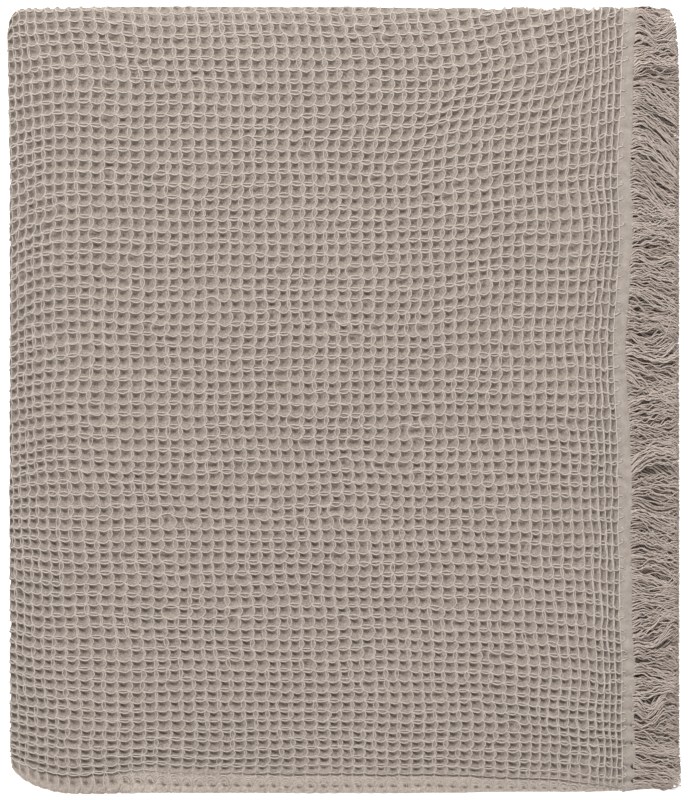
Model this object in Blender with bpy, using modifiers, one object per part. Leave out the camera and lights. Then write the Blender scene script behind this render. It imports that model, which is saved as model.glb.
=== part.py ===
"""A waffle-woven cotton bedspread with fringed ends, folded and laid flat.

The cloth is first folded in three across its width. That bundle of three layers is folded in half,
and in half again, so twelve layers lie on each other: the top bundle runs to the left, wraps round
the left end, comes back underneath, turns at the right and ends as the second bundle from the top.
Both fringed ends lie at the right, one on the other. X runs along the bundles towards the fringe,
Y across them, and Z up. The origin is on the ground under the middle. All sizes are in metres.
"""

import math

import bmesh
import bpy
from mathutils import Vector

# Folded size, over the fringe
FOLDED_WIDTH = 0.5712
FOLDED_LENGTH = 0.668
HALF_WIDTH = FOLDED_WIDTH / 2
HALF_LENGTH = FOLDED_LENGTH / 2

# The cloth, and how its layers are stacked
CLOTH_THICKNESS = 0.0024
LAYER_PITCH = 0.0050
BUNDLE_GAP = 0.0018
BUNDLE_HEIGHT = CLOTH_THICKNESS + 2 * LAYER_PITCH
STACK_HEIGHT = 4 * BUNDLE_HEIGHT + 3 * BUNDLE_GAP
TURN_RADIUS = BUNDLE_HEIGHT + BUNDLE_GAP / 2

# The two ends: a plain-woven header, parted from the waffle by a hair, and its fringe
CLOTH_END_X = 0.2323
HEADER_WIDTH = 0.0104
HEADER_THICKNESS = 0.0020
PIECE_GAP = 0.0003
HEADER_START_X = CLOTH_END_X + PIECE_GAP
HEADER_END_X = HEADER_START_X + HEADER_WIDTH
LOCK_STEPS = 3
LOCK_TIP_WIDTH = 0.62
LOCK_TIP_THICKNESS = 0.0010
LOCK_TIP_SHORTEST = 0.004
LOCK_CURL = 1.6
GOLDEN_ANGLE = math.radians(137.5)

# Along X: where the top bundle begins to slope down to the left, and where the hidden folds turn
SLOPE_START = 0.070
SLOPE_STEPS = 6
SLOPE_MEETS_TURN = math.radians(43)
INNER_TURN_INSET = 0.059
RIGHT_TURN_X = 0.2285

# Across Y: how far the free selvedges of layers two and three stop short of the folds
LAYER_TWO_SHORT = 0.030
LAYER_THREE_SHORT = 0.018

# Rounded corners seen from above, at the left end
FRONT_CORNER_RADIUS = 0.044
BACK_CORNER_RADIUS = 0.014

# How the height of the stack falls towards the long edges: distance from the edge, share of height
FRONT_FALL = ((0.0, 0.82), (0.015, 0.87), (0.035, 0.94), (0.06, 0.98), (0.10, 1.0))
BACK_FALL = ((0.0, 0.87), (0.020, 0.93), (0.045, 0.98), (0.08, 1.0))

# How it falls towards the fringe tips: x, share of height
END_FALL = (
    (0.12, 1.0),
    (0.19, 0.97),
    (HEADER_START_X, 0.90),
    (HEADER_END_X, 0.86),
    (HALF_WIDTH, 0.44),
)

# The fringed ends bow: y, shift of the end along x
END_BOW = (
    (-0.334, 0.0027),
    (-0.20, 0.0004),
    (-0.11, -0.0016),
    (0.0, -0.0030),
    (0.11, -0.0032),
    (0.22, -0.0014),
    (0.334, 0.0033),
)

# Between which x this bow comes in, and where it is gone again
BOW_REACH = ((0.08, 0.0), (CLOTH_END_X, 1.0), (HEADER_END_X, 1.0), (HALF_WIDTH, 0.0))

# The crease in the top layer near the front edge: x, y, depth
CREASE = (
    (-0.262, -0.315, 0.0),
    (-0.236, -0.3195, 0.0026),
    (-0.215, -0.318, 0.0020),
    (-0.190, -0.317, 0.0006),
    (-0.125, -0.3165, 0.0006),
    (-0.085, -0.317, 0.0022),
    (0.0, -0.3185, 0.0026),
    (0.10, -0.3185, 0.0026),
    (0.17, -0.3225, 0.0024),
    (0.220, -0.3255, 0.0010),
    (HEADER_END_X, -0.3265, 0.0),
)

# Stations of the mesh across the crease: offset from the crease in y, share of its depth
CREASE_STATIONS = ((0.009, 0.0), (0.0035, 0.1), (0.0, 1.0), (-0.0025, 0.25))

# Slow waves in the height of the folded stack: wavelength in x, in y, phase, share of height
WAVES = ((0.31, 0.0, 0.6, 0.008), (0.0, 0.27, 2.1, 0.008), (0.19, 0.33, 1.2, 0.006))

# Where the mesh has stations on the layers that lie flat
OUTER_LAYER_Y = (0.318, 0.30, 0.275, 0.22, 0.11, 0.0, -0.11, -0.20, -0.255, -0.285, -0.303)
INNER_LAYER_Y = (0.300, 0.22, 0.11, 0.0, -0.11, -0.20, -0.26)
TOP_BUNDLE_X = (0.213, 0.17, 0.12, 0.05, -0.02, -0.09, -0.15, -0.19)
HIDDEN_BUNDLE_X = (0.18, 0.08, -0.04, -0.16)

# The fringes: locks along each layer, from layer two by way of layer one to layer three
LOCKS_END_A = (20, 40, 20)
LOCKS_END_B = (16, 18, 20)
LOCK_SHARE = 0.62

# How the locks lean as they hang out: y, shift of the tips along y
LOCK_SWEEP = (
    (-0.334, 0.006),
    (-0.300, 0.010),
    (-0.262, -0.006),
    (-0.215, 0.004),
    (-0.170, -0.012),
    (-0.100, 0.006),
    (-0.050, -0.008),
    (0.020, -0.016),
    (0.070, 0.000),
    (0.125, -0.018),
    (0.180, -0.006),
    (0.235, -0.022),
    (0.290, -0.010),
    (0.334, -0.006),
)

COTTON_COLOUR = (0.375, 0.318, 0.275, 1)
COTTON_ROUGHNESS = 0.95


def value_at(table, place, column=1):
    """The value of a table at a place, read between its rows."""
    if place <= table[0][0]:
        return table[0][column]
    for low, high in zip(table, table[1:]):
        if place <= high[0]:
            share = (place - low[0]) / (high[0] - low[0])
            return low[column] + (high[column] - low[column]) * share
    return table[-1][column]


def straight(places, z, heading):
    """Stations of the path on a flat stretch: x, z, and the direction into the bundle."""
    return [(x, z, 0.0, heading) for x in places]


def arc(centre_x, centre_z, radius, start, end, steps, inward):
    """Stations on a turn. Angles run from straight up towards the left."""
    stations = []
    for step in range(steps + 1):
        angle = start + (end - start) * step / steps
        out_x = -math.sin(angle)
        out_z = math.cos(angle)
        x = centre_x + radius * out_x
        z = centre_z + radius * out_z
        stations.append((x, z, -inward * out_x, -inward * out_z))
    return stations


def slope_to_left_turn():
    """The top bundle sloping down to where it meets the left turn: a parabola."""
    start_x = -HALF_WIDTH + SLOPE_START
    end_x = -HALF_WIDTH + TURN_RADIUS * (1 - math.sin(SLOPE_MEETS_TURN))
    end_z = TURN_RADIUS * (1 + math.cos(SLOPE_MEETS_TURN))
    bend = (STACK_HEIGHT - end_z) / (start_x - end_x) ** 2
    stations = []
    for step in range(SLOPE_STEPS):
        x = start_x + (end_x - start_x) * step / SLOPE_STEPS
        slope = 2 * bend * (start_x - x)
        length = math.hypot(1, slope)
        stations.append((x, STACK_HEIGHT - bend * (start_x - x) ** 2, slope / length, -1 / length))
    return stations


def path_of_cloth():
    """The path of the bundle from one end of the cloth to the other, on the side of layer one."""
    inner_turn_x = -HALF_WIDTH + INNER_TURN_INSET
    bottom_z = 0.0
    back_z = 2 * BUNDLE_HEIGHT + BUNDLE_GAP
    second_z = back_z + BUNDLE_GAP
    left_turn = arc(
        -HALF_WIDTH + TURN_RADIUS, TURN_RADIUS, TURN_RADIUS, SLOPE_MEETS_TURN, math.pi, 7, 1
    )
    right_turn = arc(RIGHT_TURN_X, TURN_RADIUS, TURN_RADIUS, math.pi, 2 * math.pi, 6, 1)
    inner_turn = arc(inner_turn_x, back_z + BUNDLE_GAP / 2, BUNDLE_GAP / 2, math.pi, 0, 5, -1)
    underneath = sorted(HIDDEN_BUNDLE_X)
    return (
        straight((CLOTH_END_X, *TOP_BUNDLE_X), STACK_HEIGHT, -1)
        + slope_to_left_turn()
        + left_turn
        + straight(underneath, bottom_z, 1)
        + right_turn
        + straight(HIDDEN_BUNDLE_X, back_z, -1)
        + inner_turn
        + straight((*underneath, CLOTH_END_X), second_z, 1)
    )


def fold(centre_y, centre_depth, radius, start, end, steps):
    """Stations of a turn between two layers: y and depth below layer one's face."""
    stations = []
    for step in range(1, steps):
        angle = start + (end - start) * step / steps
        y = centre_y + radius * math.sin(angle)
        stations.append((y, centre_depth - radius * math.cos(angle)))
    return stations


def section(thickness, outer_y, inner_y, turn_steps):
    """The bundle cut across: y and depth, from layer two's selvedge to layer three's."""
    first = CLOTH_THICKNESS / 2
    second = first + LAYER_PITCH
    third = second + LAYER_PITCH
    back_fold_y = HALF_LENGTH - thickness / 2 - LAYER_PITCH / 2
    front_fold_y = -HALF_LENGTH + thickness / 2 + LAYER_PITCH
    back_fold = fold(back_fold_y, (first + second) / 2, LAYER_PITCH / 2, math.pi, 0, turn_steps)
    front_fold = fold(front_fold_y, second, LAYER_PITCH, 0, -math.pi, turn_steps + 1)
    layer_two = [(-HALF_LENGTH + LAYER_TWO_SHORT, second)] + [(y, second) for y in reversed(inner_y)]
    layer_one = [(y, first) for y in outer_y]
    layer_three = [(y, third) for y in reversed(inner_y)] + [(HALF_LENGTH - LAYER_THREE_SHORT, third)]
    return layer_two, back_fold, layer_one, front_fold, layer_three


def corner_inset(from_left, radius):
    """How far a rounded corner lies inside the straight edge, at a distance from the left end."""
    if from_left >= radius:
        return 0.0
    across = radius - max(from_left, 0.0)
    return radius - math.sqrt(radius * radius - across * across)


def height_share(x, y):
    """The height of the folded stack over a spot, as a share of its height in the middle."""
    share = value_at(END_FALL, x)
    share *= value_at(FRONT_FALL, y + HALF_LENGTH)
    share *= value_at(BACK_FALL, HALF_LENGTH - y)
    for wave_x, wave_y, phase, height in WAVES:
        turns = (x / wave_x if wave_x else 0.0) + (y / wave_y if wave_y else 0.0)
        share *= 1 + height * math.sin(2 * math.pi * turns + phase)
    return share


def settle(x, y, z):
    """Moves a point from the straight stack to the one that lies there: corners, ends and heights."""
    radius = FRONT_CORNER_RADIUS if y < 0 else BACK_CORNER_RADIUS
    inset = corner_inset(x + HALF_WIDTH, radius) / HALF_LENGTH
    share = height_share(x, y)
    ground = CLOTH_THICKNESS / 2
    return Vector((
        x + value_at(END_BOW, y) * value_at(BOW_REACH, x),
        y * (1 - inset * abs(y / HALF_LENGTH) ** 3),
        ground + (z - ground) * share,
    ))


def on_path(station, y, depth):
    """The point of the settled cloth at a station of the path and a place in the section."""
    x, z, inward_x, inward_z = station
    return settle(x + depth * inward_x, y, z + depth * inward_z)


def cotton(name):
    """Matt beige cotton."""
    material = bpy.data.materials.new(name)
    material.use_nodes = True
    shader = material.node_tree.nodes["Principled BSDF"]
    shader.inputs["Base Color"].default_value = COTTON_COLOUR
    shader.inputs["Roughness"].default_value = COTTON_ROUGHNESS
    shader.inputs["Metallic"].default_value = 0.0
    return material


def add_object(name, mesh_builder, collection):
    """An object from a filled bmesh, with its own material, shaded smooth."""
    mesh = bpy.data.meshes.new(name)
    bmesh.ops.recalc_face_normals(mesh_builder, faces=mesh_builder.faces)
    mesh_builder.to_mesh(mesh)
    mesh_builder.free()
    mesh.shade_smooth()
    mesh.set_sharp_from_angle(angle=math.radians(40))
    piece = bpy.data.objects.new(name, mesh)
    piece.data.materials.append(cotton(name + "_cotton"))
    collection.objects.link(piece)
    return piece


def crease_rows(x, on_top):
    """The stations across the crease in the top layer, at an x: y and depth."""
    crease_y = value_at(CREASE, x)
    depth = value_at(CREASE, x, 2) if on_top else 0.0
    return [(crease_y + offset, CLOTH_THICKNESS / 2 + depth * share) for offset, share in CREASE_STATIONS]


def waffle_cloth(collection):
    """The whole cloth as one open surface on its folds, given its thickness."""
    layer_two, back_fold, layer_one, front_fold, layer_three = section(
        CLOTH_THICKNESS, OUTER_LAYER_Y, INNER_LAYER_Y, 4
    )
    stations = path_of_cloth()
    top_stations = 1 + len(TOP_BUNDLE_X) + SLOPE_STEPS
    sheet = bmesh.new()
    grid = []
    for number, station in enumerate(stations):
        crease = crease_rows(station[0], number < top_stations)
        places = layer_two + back_fold + layer_one + crease + front_fold + layer_three
        grid.append([sheet.verts.new(on_path(station, y, depth)) for y, depth in places])
    for row, next_row in zip(grid, grid[1:]):
        for corner in range(len(row) - 1):
            sheet.faces.new((row[corner], next_row[corner], next_row[corner + 1], row[corner + 1]))
    cloth = add_object("waffle_cloth", sheet, collection)
    thicken = cloth.modifiers.new("thickness", "SOLIDIFY")
    thicken.thickness = CLOTH_THICKNESS
    thicken.offset = 0.0
    return cloth


def lock_centres(count, start_y, end_y):
    """Evenly spaced stations for locks along a layer, as pairs of y: where each begins and ends."""
    pitch = (end_y - start_y) / count
    for number in range(count):
        middle = start_y + pitch * (number + 0.5)
        yield middle - pitch * LOCK_SHARE / 2, middle + pitch * LOCK_SHARE / 2


def layer_with_locks(count, start_y, end_y, depth):
    """Stations of a header along one layer: y, depth, and whether a lock hangs from the next stretch."""
    stations = [(start_y, depth, False)]
    for first, last in lock_centres(count, start_y, end_y):
        stations += [(first, depth, True), (last, depth, False)]
    return stations


def header_section(locks):
    """The header cut across, with the places of its locks, from layer two's selvedge to three's."""
    layer_two, back_fold, _, front_fold, layer_three = section(HEADER_THICKNESS, (), (), 4)
    first = CLOTH_THICKNESS / 2
    back_y = HALF_LENGTH - HEADER_THICKNESS / 2 - LAYER_PITCH / 2
    front_y = -HALF_LENGTH + HEADER_THICKNESS / 2 + LAYER_PITCH
    start_y, second = layer_two[0]
    end_y, third = layer_three[-1]
    return (
        layer_with_locks(locks[0], start_y, back_y, second)
        + [(back_y, second, False)]
        + [(y, depth, False) for y, depth in back_fold]
        + layer_with_locks(locks[1], back_y, front_y, first)
        + [(front_y, first, False)]
        + [(y, depth, False) for y, depth in front_fold]
        + layer_with_locks(locks[2], front_y, end_y, third)
        + [(end_y, third, False)]
    )


def header_normals(stations):
    """The direction across the header's thickness at each station of its section."""
    normals = []
    for number in range(len(stations)):
        before = stations[max(number - 1, 0)]
        after = stations[min(number + 1, len(stations) - 1)]
        along_y = after[0] - before[0]
        along_depth = after[1] - before[1]
        length = math.hypot(along_y, along_depth)
        normals.append((-along_depth / length, along_y / length))
    return normals


def hang_lock(builder, number, face, face_z):
    """Draws one lock out of a face of the header's rim, step by step, to its tip."""
    root = [vert.co.copy() for vert in face.verts]
    middle = sum(root, Vector()) / len(root)
    sweep = value_at(LOCK_SWEEP, middle.y)
    tip_x = HALF_WIDTH - LOCK_TIP_SHORTEST * (1 + math.sin(GOLDEN_ANGLE * number)) / 2
    for step in range(1, LOCK_STEPS + 1):
        share = step / LOCK_STEPS
        x = HEADER_END_X + (tip_x - HEADER_END_X) * share
        width = 1 + (LOCK_TIP_WIDTH - 1) * share
        thickness = HEADER_THICKNESS + (LOCK_TIP_THICKNESS - HEADER_THICKNESS) * share
        made = bmesh.ops.extrude_discrete_faces(builder, faces=[face])
        face = made["faces"][0]
        for vert, start in zip(face.verts, root):
            y = middle.y + (start.y - middle.y) * width + sweep * share**LOCK_CURL
            centre = settle(x, y, face_z)
            side = 1 if start.z > settle(HEADER_END_X, start.y, face_z).z else -1
            vert.co = Vector((centre.x, centre.y, centre.z + side * thickness / 2))


def fringed_end(name, base_z, heading, locks, collection):
    """One end of the cloth: the header as a strip on the folds, and the locks that hang from it."""
    stations = header_section(locks)
    normals = header_normals(stations)
    builder = bmesh.new()
    rings = []
    for (y, depth, _), (normal_y, normal_depth) in zip(stations, normals):
        ring = []
        for x, side in ((HEADER_START_X, -1), (HEADER_END_X, -1), (HEADER_END_X, 1), (HEADER_START_X, 1)):
            across = side * HEADER_THICKNESS / 2
            station = (x, base_z, 0.0, heading)
            place = on_path(station, y + across * normal_y, depth + across * normal_depth)
            ring.append(builder.verts.new(place))
        rings.append(ring)
    builder.faces.new(rings[0])
    builder.faces.new(reversed(rings[-1]))
    rims = []
    for number, (ring, next_ring) in enumerate(zip(rings, rings[1:])):
        for corner in range(4):
            after = (corner + 1) % 4
            face = builder.faces.new((ring[corner], next_ring[corner], next_ring[after], ring[after]))
            if corner == 1 and stations[number][2]:
                rims.append((face, base_z + heading * stations[number][1]))
    for number, (face, face_z) in enumerate(rims):
        hang_lock(builder, number, face, face_z)
    return add_object(name, builder, collection)


def main():
    for old in list(bpy.data.objects):
        bpy.data.objects.remove(old)
    collection = bpy.data.collections.new("waffle_bedspread")
    bpy.context.scene.collection.children.link(collection)
    waffle_cloth(collection)
    second_z = 2 * BUNDLE_HEIGHT + 2 * BUNDLE_GAP
    fringed_end("fringe_end_a", STACK_HEIGHT, -1, LOCKS_END_A, collection)
    fringed_end("fringe_end_b", second_z, 1, LOCKS_END_B, collection)


main()
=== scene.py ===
# %% [markdown]
# # A folded waffle bedspread
# Waffle weave is cotton cloth whose long floats pull it up into a grid of ridges round small square
# hollows. This one is as big as a bed, folded into a pile, with a fringe of its own yarns at both ends.
# The solids of the folded cloth are loaded first. Everything here is worked out on the same folds, so
# each piece lies where its solid does and nothing has to be fitted by eye.

# %% Load the solids
import math

import bpy
import numpy as np
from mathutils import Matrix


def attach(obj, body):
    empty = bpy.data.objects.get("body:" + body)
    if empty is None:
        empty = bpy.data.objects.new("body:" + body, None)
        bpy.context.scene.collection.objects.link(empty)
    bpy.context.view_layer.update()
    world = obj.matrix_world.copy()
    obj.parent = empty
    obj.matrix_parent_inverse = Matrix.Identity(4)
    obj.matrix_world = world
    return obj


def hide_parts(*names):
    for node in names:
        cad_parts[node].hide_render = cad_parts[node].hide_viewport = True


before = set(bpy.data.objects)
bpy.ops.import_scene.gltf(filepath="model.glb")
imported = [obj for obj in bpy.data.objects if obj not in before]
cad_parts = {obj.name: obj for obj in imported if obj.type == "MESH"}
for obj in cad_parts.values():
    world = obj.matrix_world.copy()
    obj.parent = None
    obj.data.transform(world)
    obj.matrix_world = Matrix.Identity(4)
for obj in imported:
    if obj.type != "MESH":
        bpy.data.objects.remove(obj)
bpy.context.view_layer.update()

# %% [markdown]
# ## The folds
# The cloth is folded in three across its width, and that bundle in half twice. So two lines describe
# the whole pile: the path that the bundle takes, seen from the front, and the bundle's own section,
# seen from the end. A spot on the flat cloth has a place along each, and the two together place it.

# %% Sizes of the pile, in metres
HALF_WIDTH = 0.2856
HALF_LENGTH = 0.334
CLOTH_THICKNESS = 0.0024
LAYER_PITCH = 0.0050
BUNDLE_GAP = 0.0018
BUNDLE_HEIGHT = CLOTH_THICKNESS + 2 * LAYER_PITCH
STACK_HEIGHT = 4 * BUNDLE_HEIGHT + 3 * BUNDLE_GAP
TURN_RADIUS = BUNDLE_HEIGHT + BUNDLE_GAP / 2
CLOTH_END_X = 0.2323
HEADER_WIDTH = 0.0104
SLOPE_START = 0.070
SLOPE_MEETS_TURN = math.radians(43)
INNER_TURN_INSET = 0.059
RIGHT_TURN_X = 0.2285
LAYER_TWO_SHORT = 0.030
LAYER_THREE_SHORT = 0.018
BEYOND_FRINGE = 0.02
FINE_STEP = 0.0004
TURN_STEPS = 160
print(f"the pile is {STACK_HEIGHT * 1000:.1f} mm high in the middle")


# %% Parts of the path of the bundle, from the fringe at the top to the fringe below it
def straight(start, end, level):
    """Rows of place, level, 0 and the way of the stretch: 1 where it runs on, -1 where it runs back."""
    place = np.linspace(start, end, int(abs(end - start) / FINE_STEP))
    same = np.ones(len(place))
    return np.column_stack((place, level * same, 0 * same, math.copysign(1, end - start) * same))


def turn_part(centre_x, centre_z, radius, start, end, inward):
    angle = np.linspace(start, end, TURN_STEPS)
    out_x = -np.sin(angle)
    out_z = np.cos(angle)
    return np.column_stack(
        (centre_x + radius * out_x, centre_z + radius * out_z, -inward * out_x, -inward * out_z)
    )


def slope_part():
    start_x = -HALF_WIDTH + SLOPE_START
    end_x = -HALF_WIDTH + TURN_RADIUS * (1 - math.sin(SLOPE_MEETS_TURN))
    end_z = TURN_RADIUS * (1 + math.cos(SLOPE_MEETS_TURN))
    bend = (STACK_HEIGHT - end_z) / (start_x - end_x) ** 2
    x = np.linspace(start_x, end_x, TURN_STEPS)
    slope = 2 * bend * (start_x - x)
    length = np.hypot(1, slope)
    return np.column_stack((x, STACK_HEIGHT - bend * (start_x - x) ** 2, slope / length, -1 / length))


print("the left end slopes down over", SLOPE_START * 1000, "mm")


# %% The path
def bundle_path():
    """Rows of distance, x, z and the direction into the bundle, along its outer side."""
    left_x = -HALF_WIDTH + TURN_RADIUS
    inner_x = -HALF_WIDTH + INNER_TURN_INSET
    back_z = 2 * BUNDLE_HEIGHT + BUNDLE_GAP
    beyond_x = HALF_WIDTH + BEYOND_FRINGE
    parts = (
        straight(beyond_x, -HALF_WIDTH + SLOPE_START, STACK_HEIGHT),
        slope_part(),
        turn_part(left_x, TURN_RADIUS, TURN_RADIUS, SLOPE_MEETS_TURN, math.pi, 1),
        straight(left_x, RIGHT_TURN_X, 0),
        turn_part(RIGHT_TURN_X, TURN_RADIUS, TURN_RADIUS, math.pi, 2 * math.pi, 1),
        straight(RIGHT_TURN_X, inner_x, back_z),
        turn_part(inner_x, back_z + BUNDLE_GAP / 2, BUNDLE_GAP / 2, math.pi, 0, -1),
        straight(inner_x, beyond_x, back_z + BUNDLE_GAP),
    )
    rows = np.vstack(parts)
    outside = rows[:, :2]
    inside = rows[:, :2] + rows[:, 2:] * BUNDLE_HEIGHT
    steps = [np.hypot(*np.diff(side, axis=0).T) for side in (outside, inside)]
    longest = np.maximum(*steps)
    kept = np.append(True, longest > 0)
    distance = np.append(0, np.cumsum(longest)) - (beyond_x - CLOTH_END_X)
    return np.column_stack((distance, rows))[kept]


PATH = bundle_path()
PATH_END = PATH[-1, 0] - (HALF_WIDTH + BEYOND_FRINGE - CLOTH_END_X)
print(f"the cloth is {PATH_END:.3f} m long between its headers")


# %% The bundle's section, from the selvedge of layer two to that of layer three
def section_fold(centre_y, centre_depth, radius, side):
    """Half a turn at the back edge (side 1) or the front one (side -1)."""
    angle = np.linspace(math.pi, 0, TURN_STEPS) if side > 0 else np.linspace(0, -math.pi, TURN_STEPS)
    out_y = np.sin(angle)
    out_depth = -np.cos(angle)
    return np.column_stack((centre_y + radius * out_y, centre_depth + radius * out_depth, out_y, out_depth))


def bundle_section():
    """Rows of distance, y, depth under the outer side, and the direction of the cloth's face."""
    first = CLOTH_THICKNESS / 2
    second = first + LAYER_PITCH
    third = second + LAYER_PITCH
    back_y = HALF_LENGTH - CLOTH_THICKNESS / 2 - LAYER_PITCH / 2
    front_y = -HALF_LENGTH + CLOTH_THICKNESS / 2 + LAYER_PITCH
    rows = np.vstack((
        straight(-HALF_LENGTH + LAYER_TWO_SHORT, back_y, second),
        section_fold(back_y, (first + second) / 2, LAYER_PITCH / 2, 1),
        straight(back_y, front_y, first),
        section_fold(front_y, second, LAYER_PITCH, -1),
        straight(front_y, HALF_LENGTH - LAYER_THREE_SHORT, third),
    ))
    steps = np.hypot(*np.diff(rows[:, :2], axis=0).T)
    kept = np.append(True, steps > 0)
    distance = np.append(0, np.cumsum(steps))
    return np.column_stack((distance, rows))[kept]


SECTION = bundle_section()
SECTION_END = SECTION[-1, 0]
LAYER_ONE_BACK_Y = HALF_LENGTH - CLOTH_THICKNESS / 2 - LAYER_PITCH / 2
LAYER_ONE_START = (LAYER_ONE_BACK_Y + HALF_LENGTH - LAYER_TWO_SHORT) + math.pi * LAYER_PITCH / 2
front_start = LAYER_ONE_START + LAYER_ONE_BACK_Y + HALF_LENGTH - CLOTH_THICKNESS / 2 - LAYER_PITCH
print(f"and {SECTION_END:.3f} m wide between its selvedges")

# %% [markdown]
# ## How the pile lies
# No pile of cloth is a box. Its long edges sink, its ends bow, its corners round off and slow waves
# run through it. Short tables hold those shapes, and a running mean takes the corners off them.

# %% Tables of the settled shape
# Reach of the rounded left corners along x and along y
FRONT_CORNER = (0.056, 0.028)
BACK_CORNER = (0.014, 0.014)
CORNER_POWER = 18
# Distance from the edge, share of the height
FRONT_FALL = ((0.0, 0.82), (0.015, 0.87), (0.035, 0.94), (0.06, 0.98), (0.10, 1.0))
BACK_FALL = ((0.0, 0.89), (0.020, 0.945), (0.045, 0.985), (0.08, 1.0))
# x, share of the height
END_FALL = ((0.12, 1.0), (0.19, 0.97), (0.2326, 0.90), (0.243, 0.86), (HALF_WIDTH, 0.44))
# y, shift of the end along x
END_BOW = (
    (-0.334, 0.0050), (-0.303, 0.0048), (-0.275, 0.0032), (-0.248, 0.0040), (-0.221, 0.0042),
    (-0.194, 0.0025), (-0.139, 0.0020), (-0.112, 0.0008), (-0.085, 0.0014), (-0.031, 0.0002),
    (0.0, -0.0018), (0.024, -0.0026), (0.051, -0.0030), (0.078, -0.0014), (0.105, 0.0006),
    (0.133, 0.0022), (0.160, 0.0018), (0.187, 0.0002), (0.214, 0.0014), (0.241, 0.0028),
    (0.269, 0.0034), (0.296, 0.0046), (0.334, 0.0062),
)
# x, how far the back edge and the front edge bulge out
EDGE_SWELL = (
    (-0.290, 0.0012, 0.0020), (-0.240, 0.0014, 0.0020), (-0.190, 0.0022, 0.0022),
    (-0.050, 0.0020, 0.0022), (0.050, 0.0014, 0.0022), (0.100, 0.0004, 0.0020),
    (0.120, 0.0, 0.0012), (0.210, -0.0002, 0.0010), (0.235, 0.0014, 0.0002),
    (0.250, 0.0024, -0.0010), (0.262, 0.0022, -0.0012), (0.275, 0.0020, 0.0), (0.290, 0.0016, 0.0),
)
SWELL_POWER = 8
# y, shift of the left turn along x
LEFT_BOW = ((-0.334, 0.0), (0.20, 0.0), (0.27, -0.0014), (0.31, -0.0022), (0.334, -0.0016))
LEFT_BOW_POWER = 4
# x, share of that shift
BOW_REACH = ((0.08, 0.0), (CLOTH_END_X, 1.0), (0.243, 1.0), (HALF_WIDTH, 0.0))
# Wavelength in x and in y, phase, share of the height
WAVES = ((0.31, 0.0, 0.6, 0.008), (0.0, 0.27, 2.1, 0.008), (0.19, 0.33, 1.2, 0.006))
TABLE_STEP = 0.0005


def smooth_table(rows, reach):
    """A function that reads a table of rows, with its corners rounded over a reach."""
    places, values = np.array(rows).T
    grid = np.arange(places[0] - 2 * reach, places[-1] + 2 * reach, TABLE_STEP)
    window = np.hanning(2 * int(reach / TABLE_STEP) + 1)
    padded = np.pad(np.interp(grid, places, values), len(window) // 2, mode="edge")
    mean = np.convolve(padded, window / window.sum(), mode="valid")
    return lambda place: np.interp(place, grid, mean)


front_fall = smooth_table(FRONT_FALL, reach=0.008)
back_fall = smooth_table(BACK_FALL, reach=0.008)
end_fall = smooth_table(END_FALL, reach=0.010)
end_bow = smooth_table(END_BOW, reach=0.014)
bow_reach = smooth_table(BOW_REACH, reach=0.01)
left_bow = smooth_table(LEFT_BOW, reach=0.02)
back_swell = smooth_table([(x, back) for x, back, _ in EDGE_SWELL], reach=0.008)
front_swell = smooth_table([(x, front) for x, _, front in EDGE_SWELL], reach=0.008)


def settle(x, y, z):
    """Moves points from the straight pile to the one that lies there."""
    share = end_fall(x) * front_fall(y + HALF_LENGTH) * back_fall(HALF_LENGTH - y)
    for wave_x, wave_y, phase, height in WAVES:
        turns = (x / wave_x if wave_x else 0) + (y / wave_y if wave_y else 0)
        share = share * (1 + height * np.sin(2 * math.pi * turns + phase))
    reach_x, reach_y = (np.where(y < 0, front, back) for front, back in zip(FRONT_CORNER, BACK_CORNER))
    into_corner = np.clip(1 - (x + HALF_WIDTH) / reach_x, 0, 1)
    inset = reach_y * (1 - np.sqrt(1 - into_corner**2)) / HALF_LENGTH
    near_left = np.clip(-x / HALF_WIDTH, 0, 1) ** LEFT_BOW_POWER
    ground = CLOTH_THICKNESS / 2
    swell = np.where(y < 0, -front_swell(x), back_swell(x)) * np.abs(y / HALF_LENGTH) ** SWELL_POWER
    return np.stack((
        x + end_bow(y) * bow_reach(x) + left_bow(y) * near_left,
        y * (1 - inset * np.abs(y / HALF_LENGTH) ** CORNER_POWER) + swell,
        np.maximum(ground + (z - ground) * share, 0),
    ), axis=-1)


def on_folds(along, across, height):
    """Points of the settled cloth: its places along path and section, and the height over its middle."""
    y, depth, face_y, face_depth = (np.interp(across, SECTION[:, 0], SECTION[:, n]) for n in (1, 2, 3, 4))
    x, z, inward_x, inward_z = (np.interp(along, PATH[:, 0], PATH[:, n]) for n in (1, 2, 3, 4))
    depth = depth + height * face_depth
    return settle(x + depth * inward_x, y + height * face_y, z + depth * inward_z)


NEAR_MIDDLE = (0.26, 0.33)
middle = on_folds(NEAR_MIDDLE[0], LAYER_ONE_START + NEAR_MIDDLE[1], CLOTH_THICKNESS / 2)
print("the top of the pile near its middle:", middle.round(4).tolist())

# %% [markdown]
# ## The grid of the weave
# The ridges of a waffle weave are its ruler: one every 10 mm or so both ways. In the folded pile they
# are not straight. Columns crowd together at the header and at the turn on the left, rows dip towards
# that turn and climb towards the back corner of the fringed end. The tables below bend the grid on the
# cloth, and the folds then carry it.

# %% Lines of the grid along the cloth and across it
# Distance along the path, pitch of the columns
COLUMN_PITCH = (
    (0.0, 0.0062), (0.006, 0.0056), (0.012, 0.0062), (0.020, 0.0076), (0.030, 0.0088),
    (0.057, 0.0095), (0.10, 0.0098), (0.20, 0.0100), (0.30, 0.0103), (0.38, 0.0106), (0.42, 0.0110),
    (0.455, 0.0110), (0.48, 0.0104), (0.50, 0.0092), (0.53, 0.0090), (0.57, 0.0100), (0.70, 0.0102),
)
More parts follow.
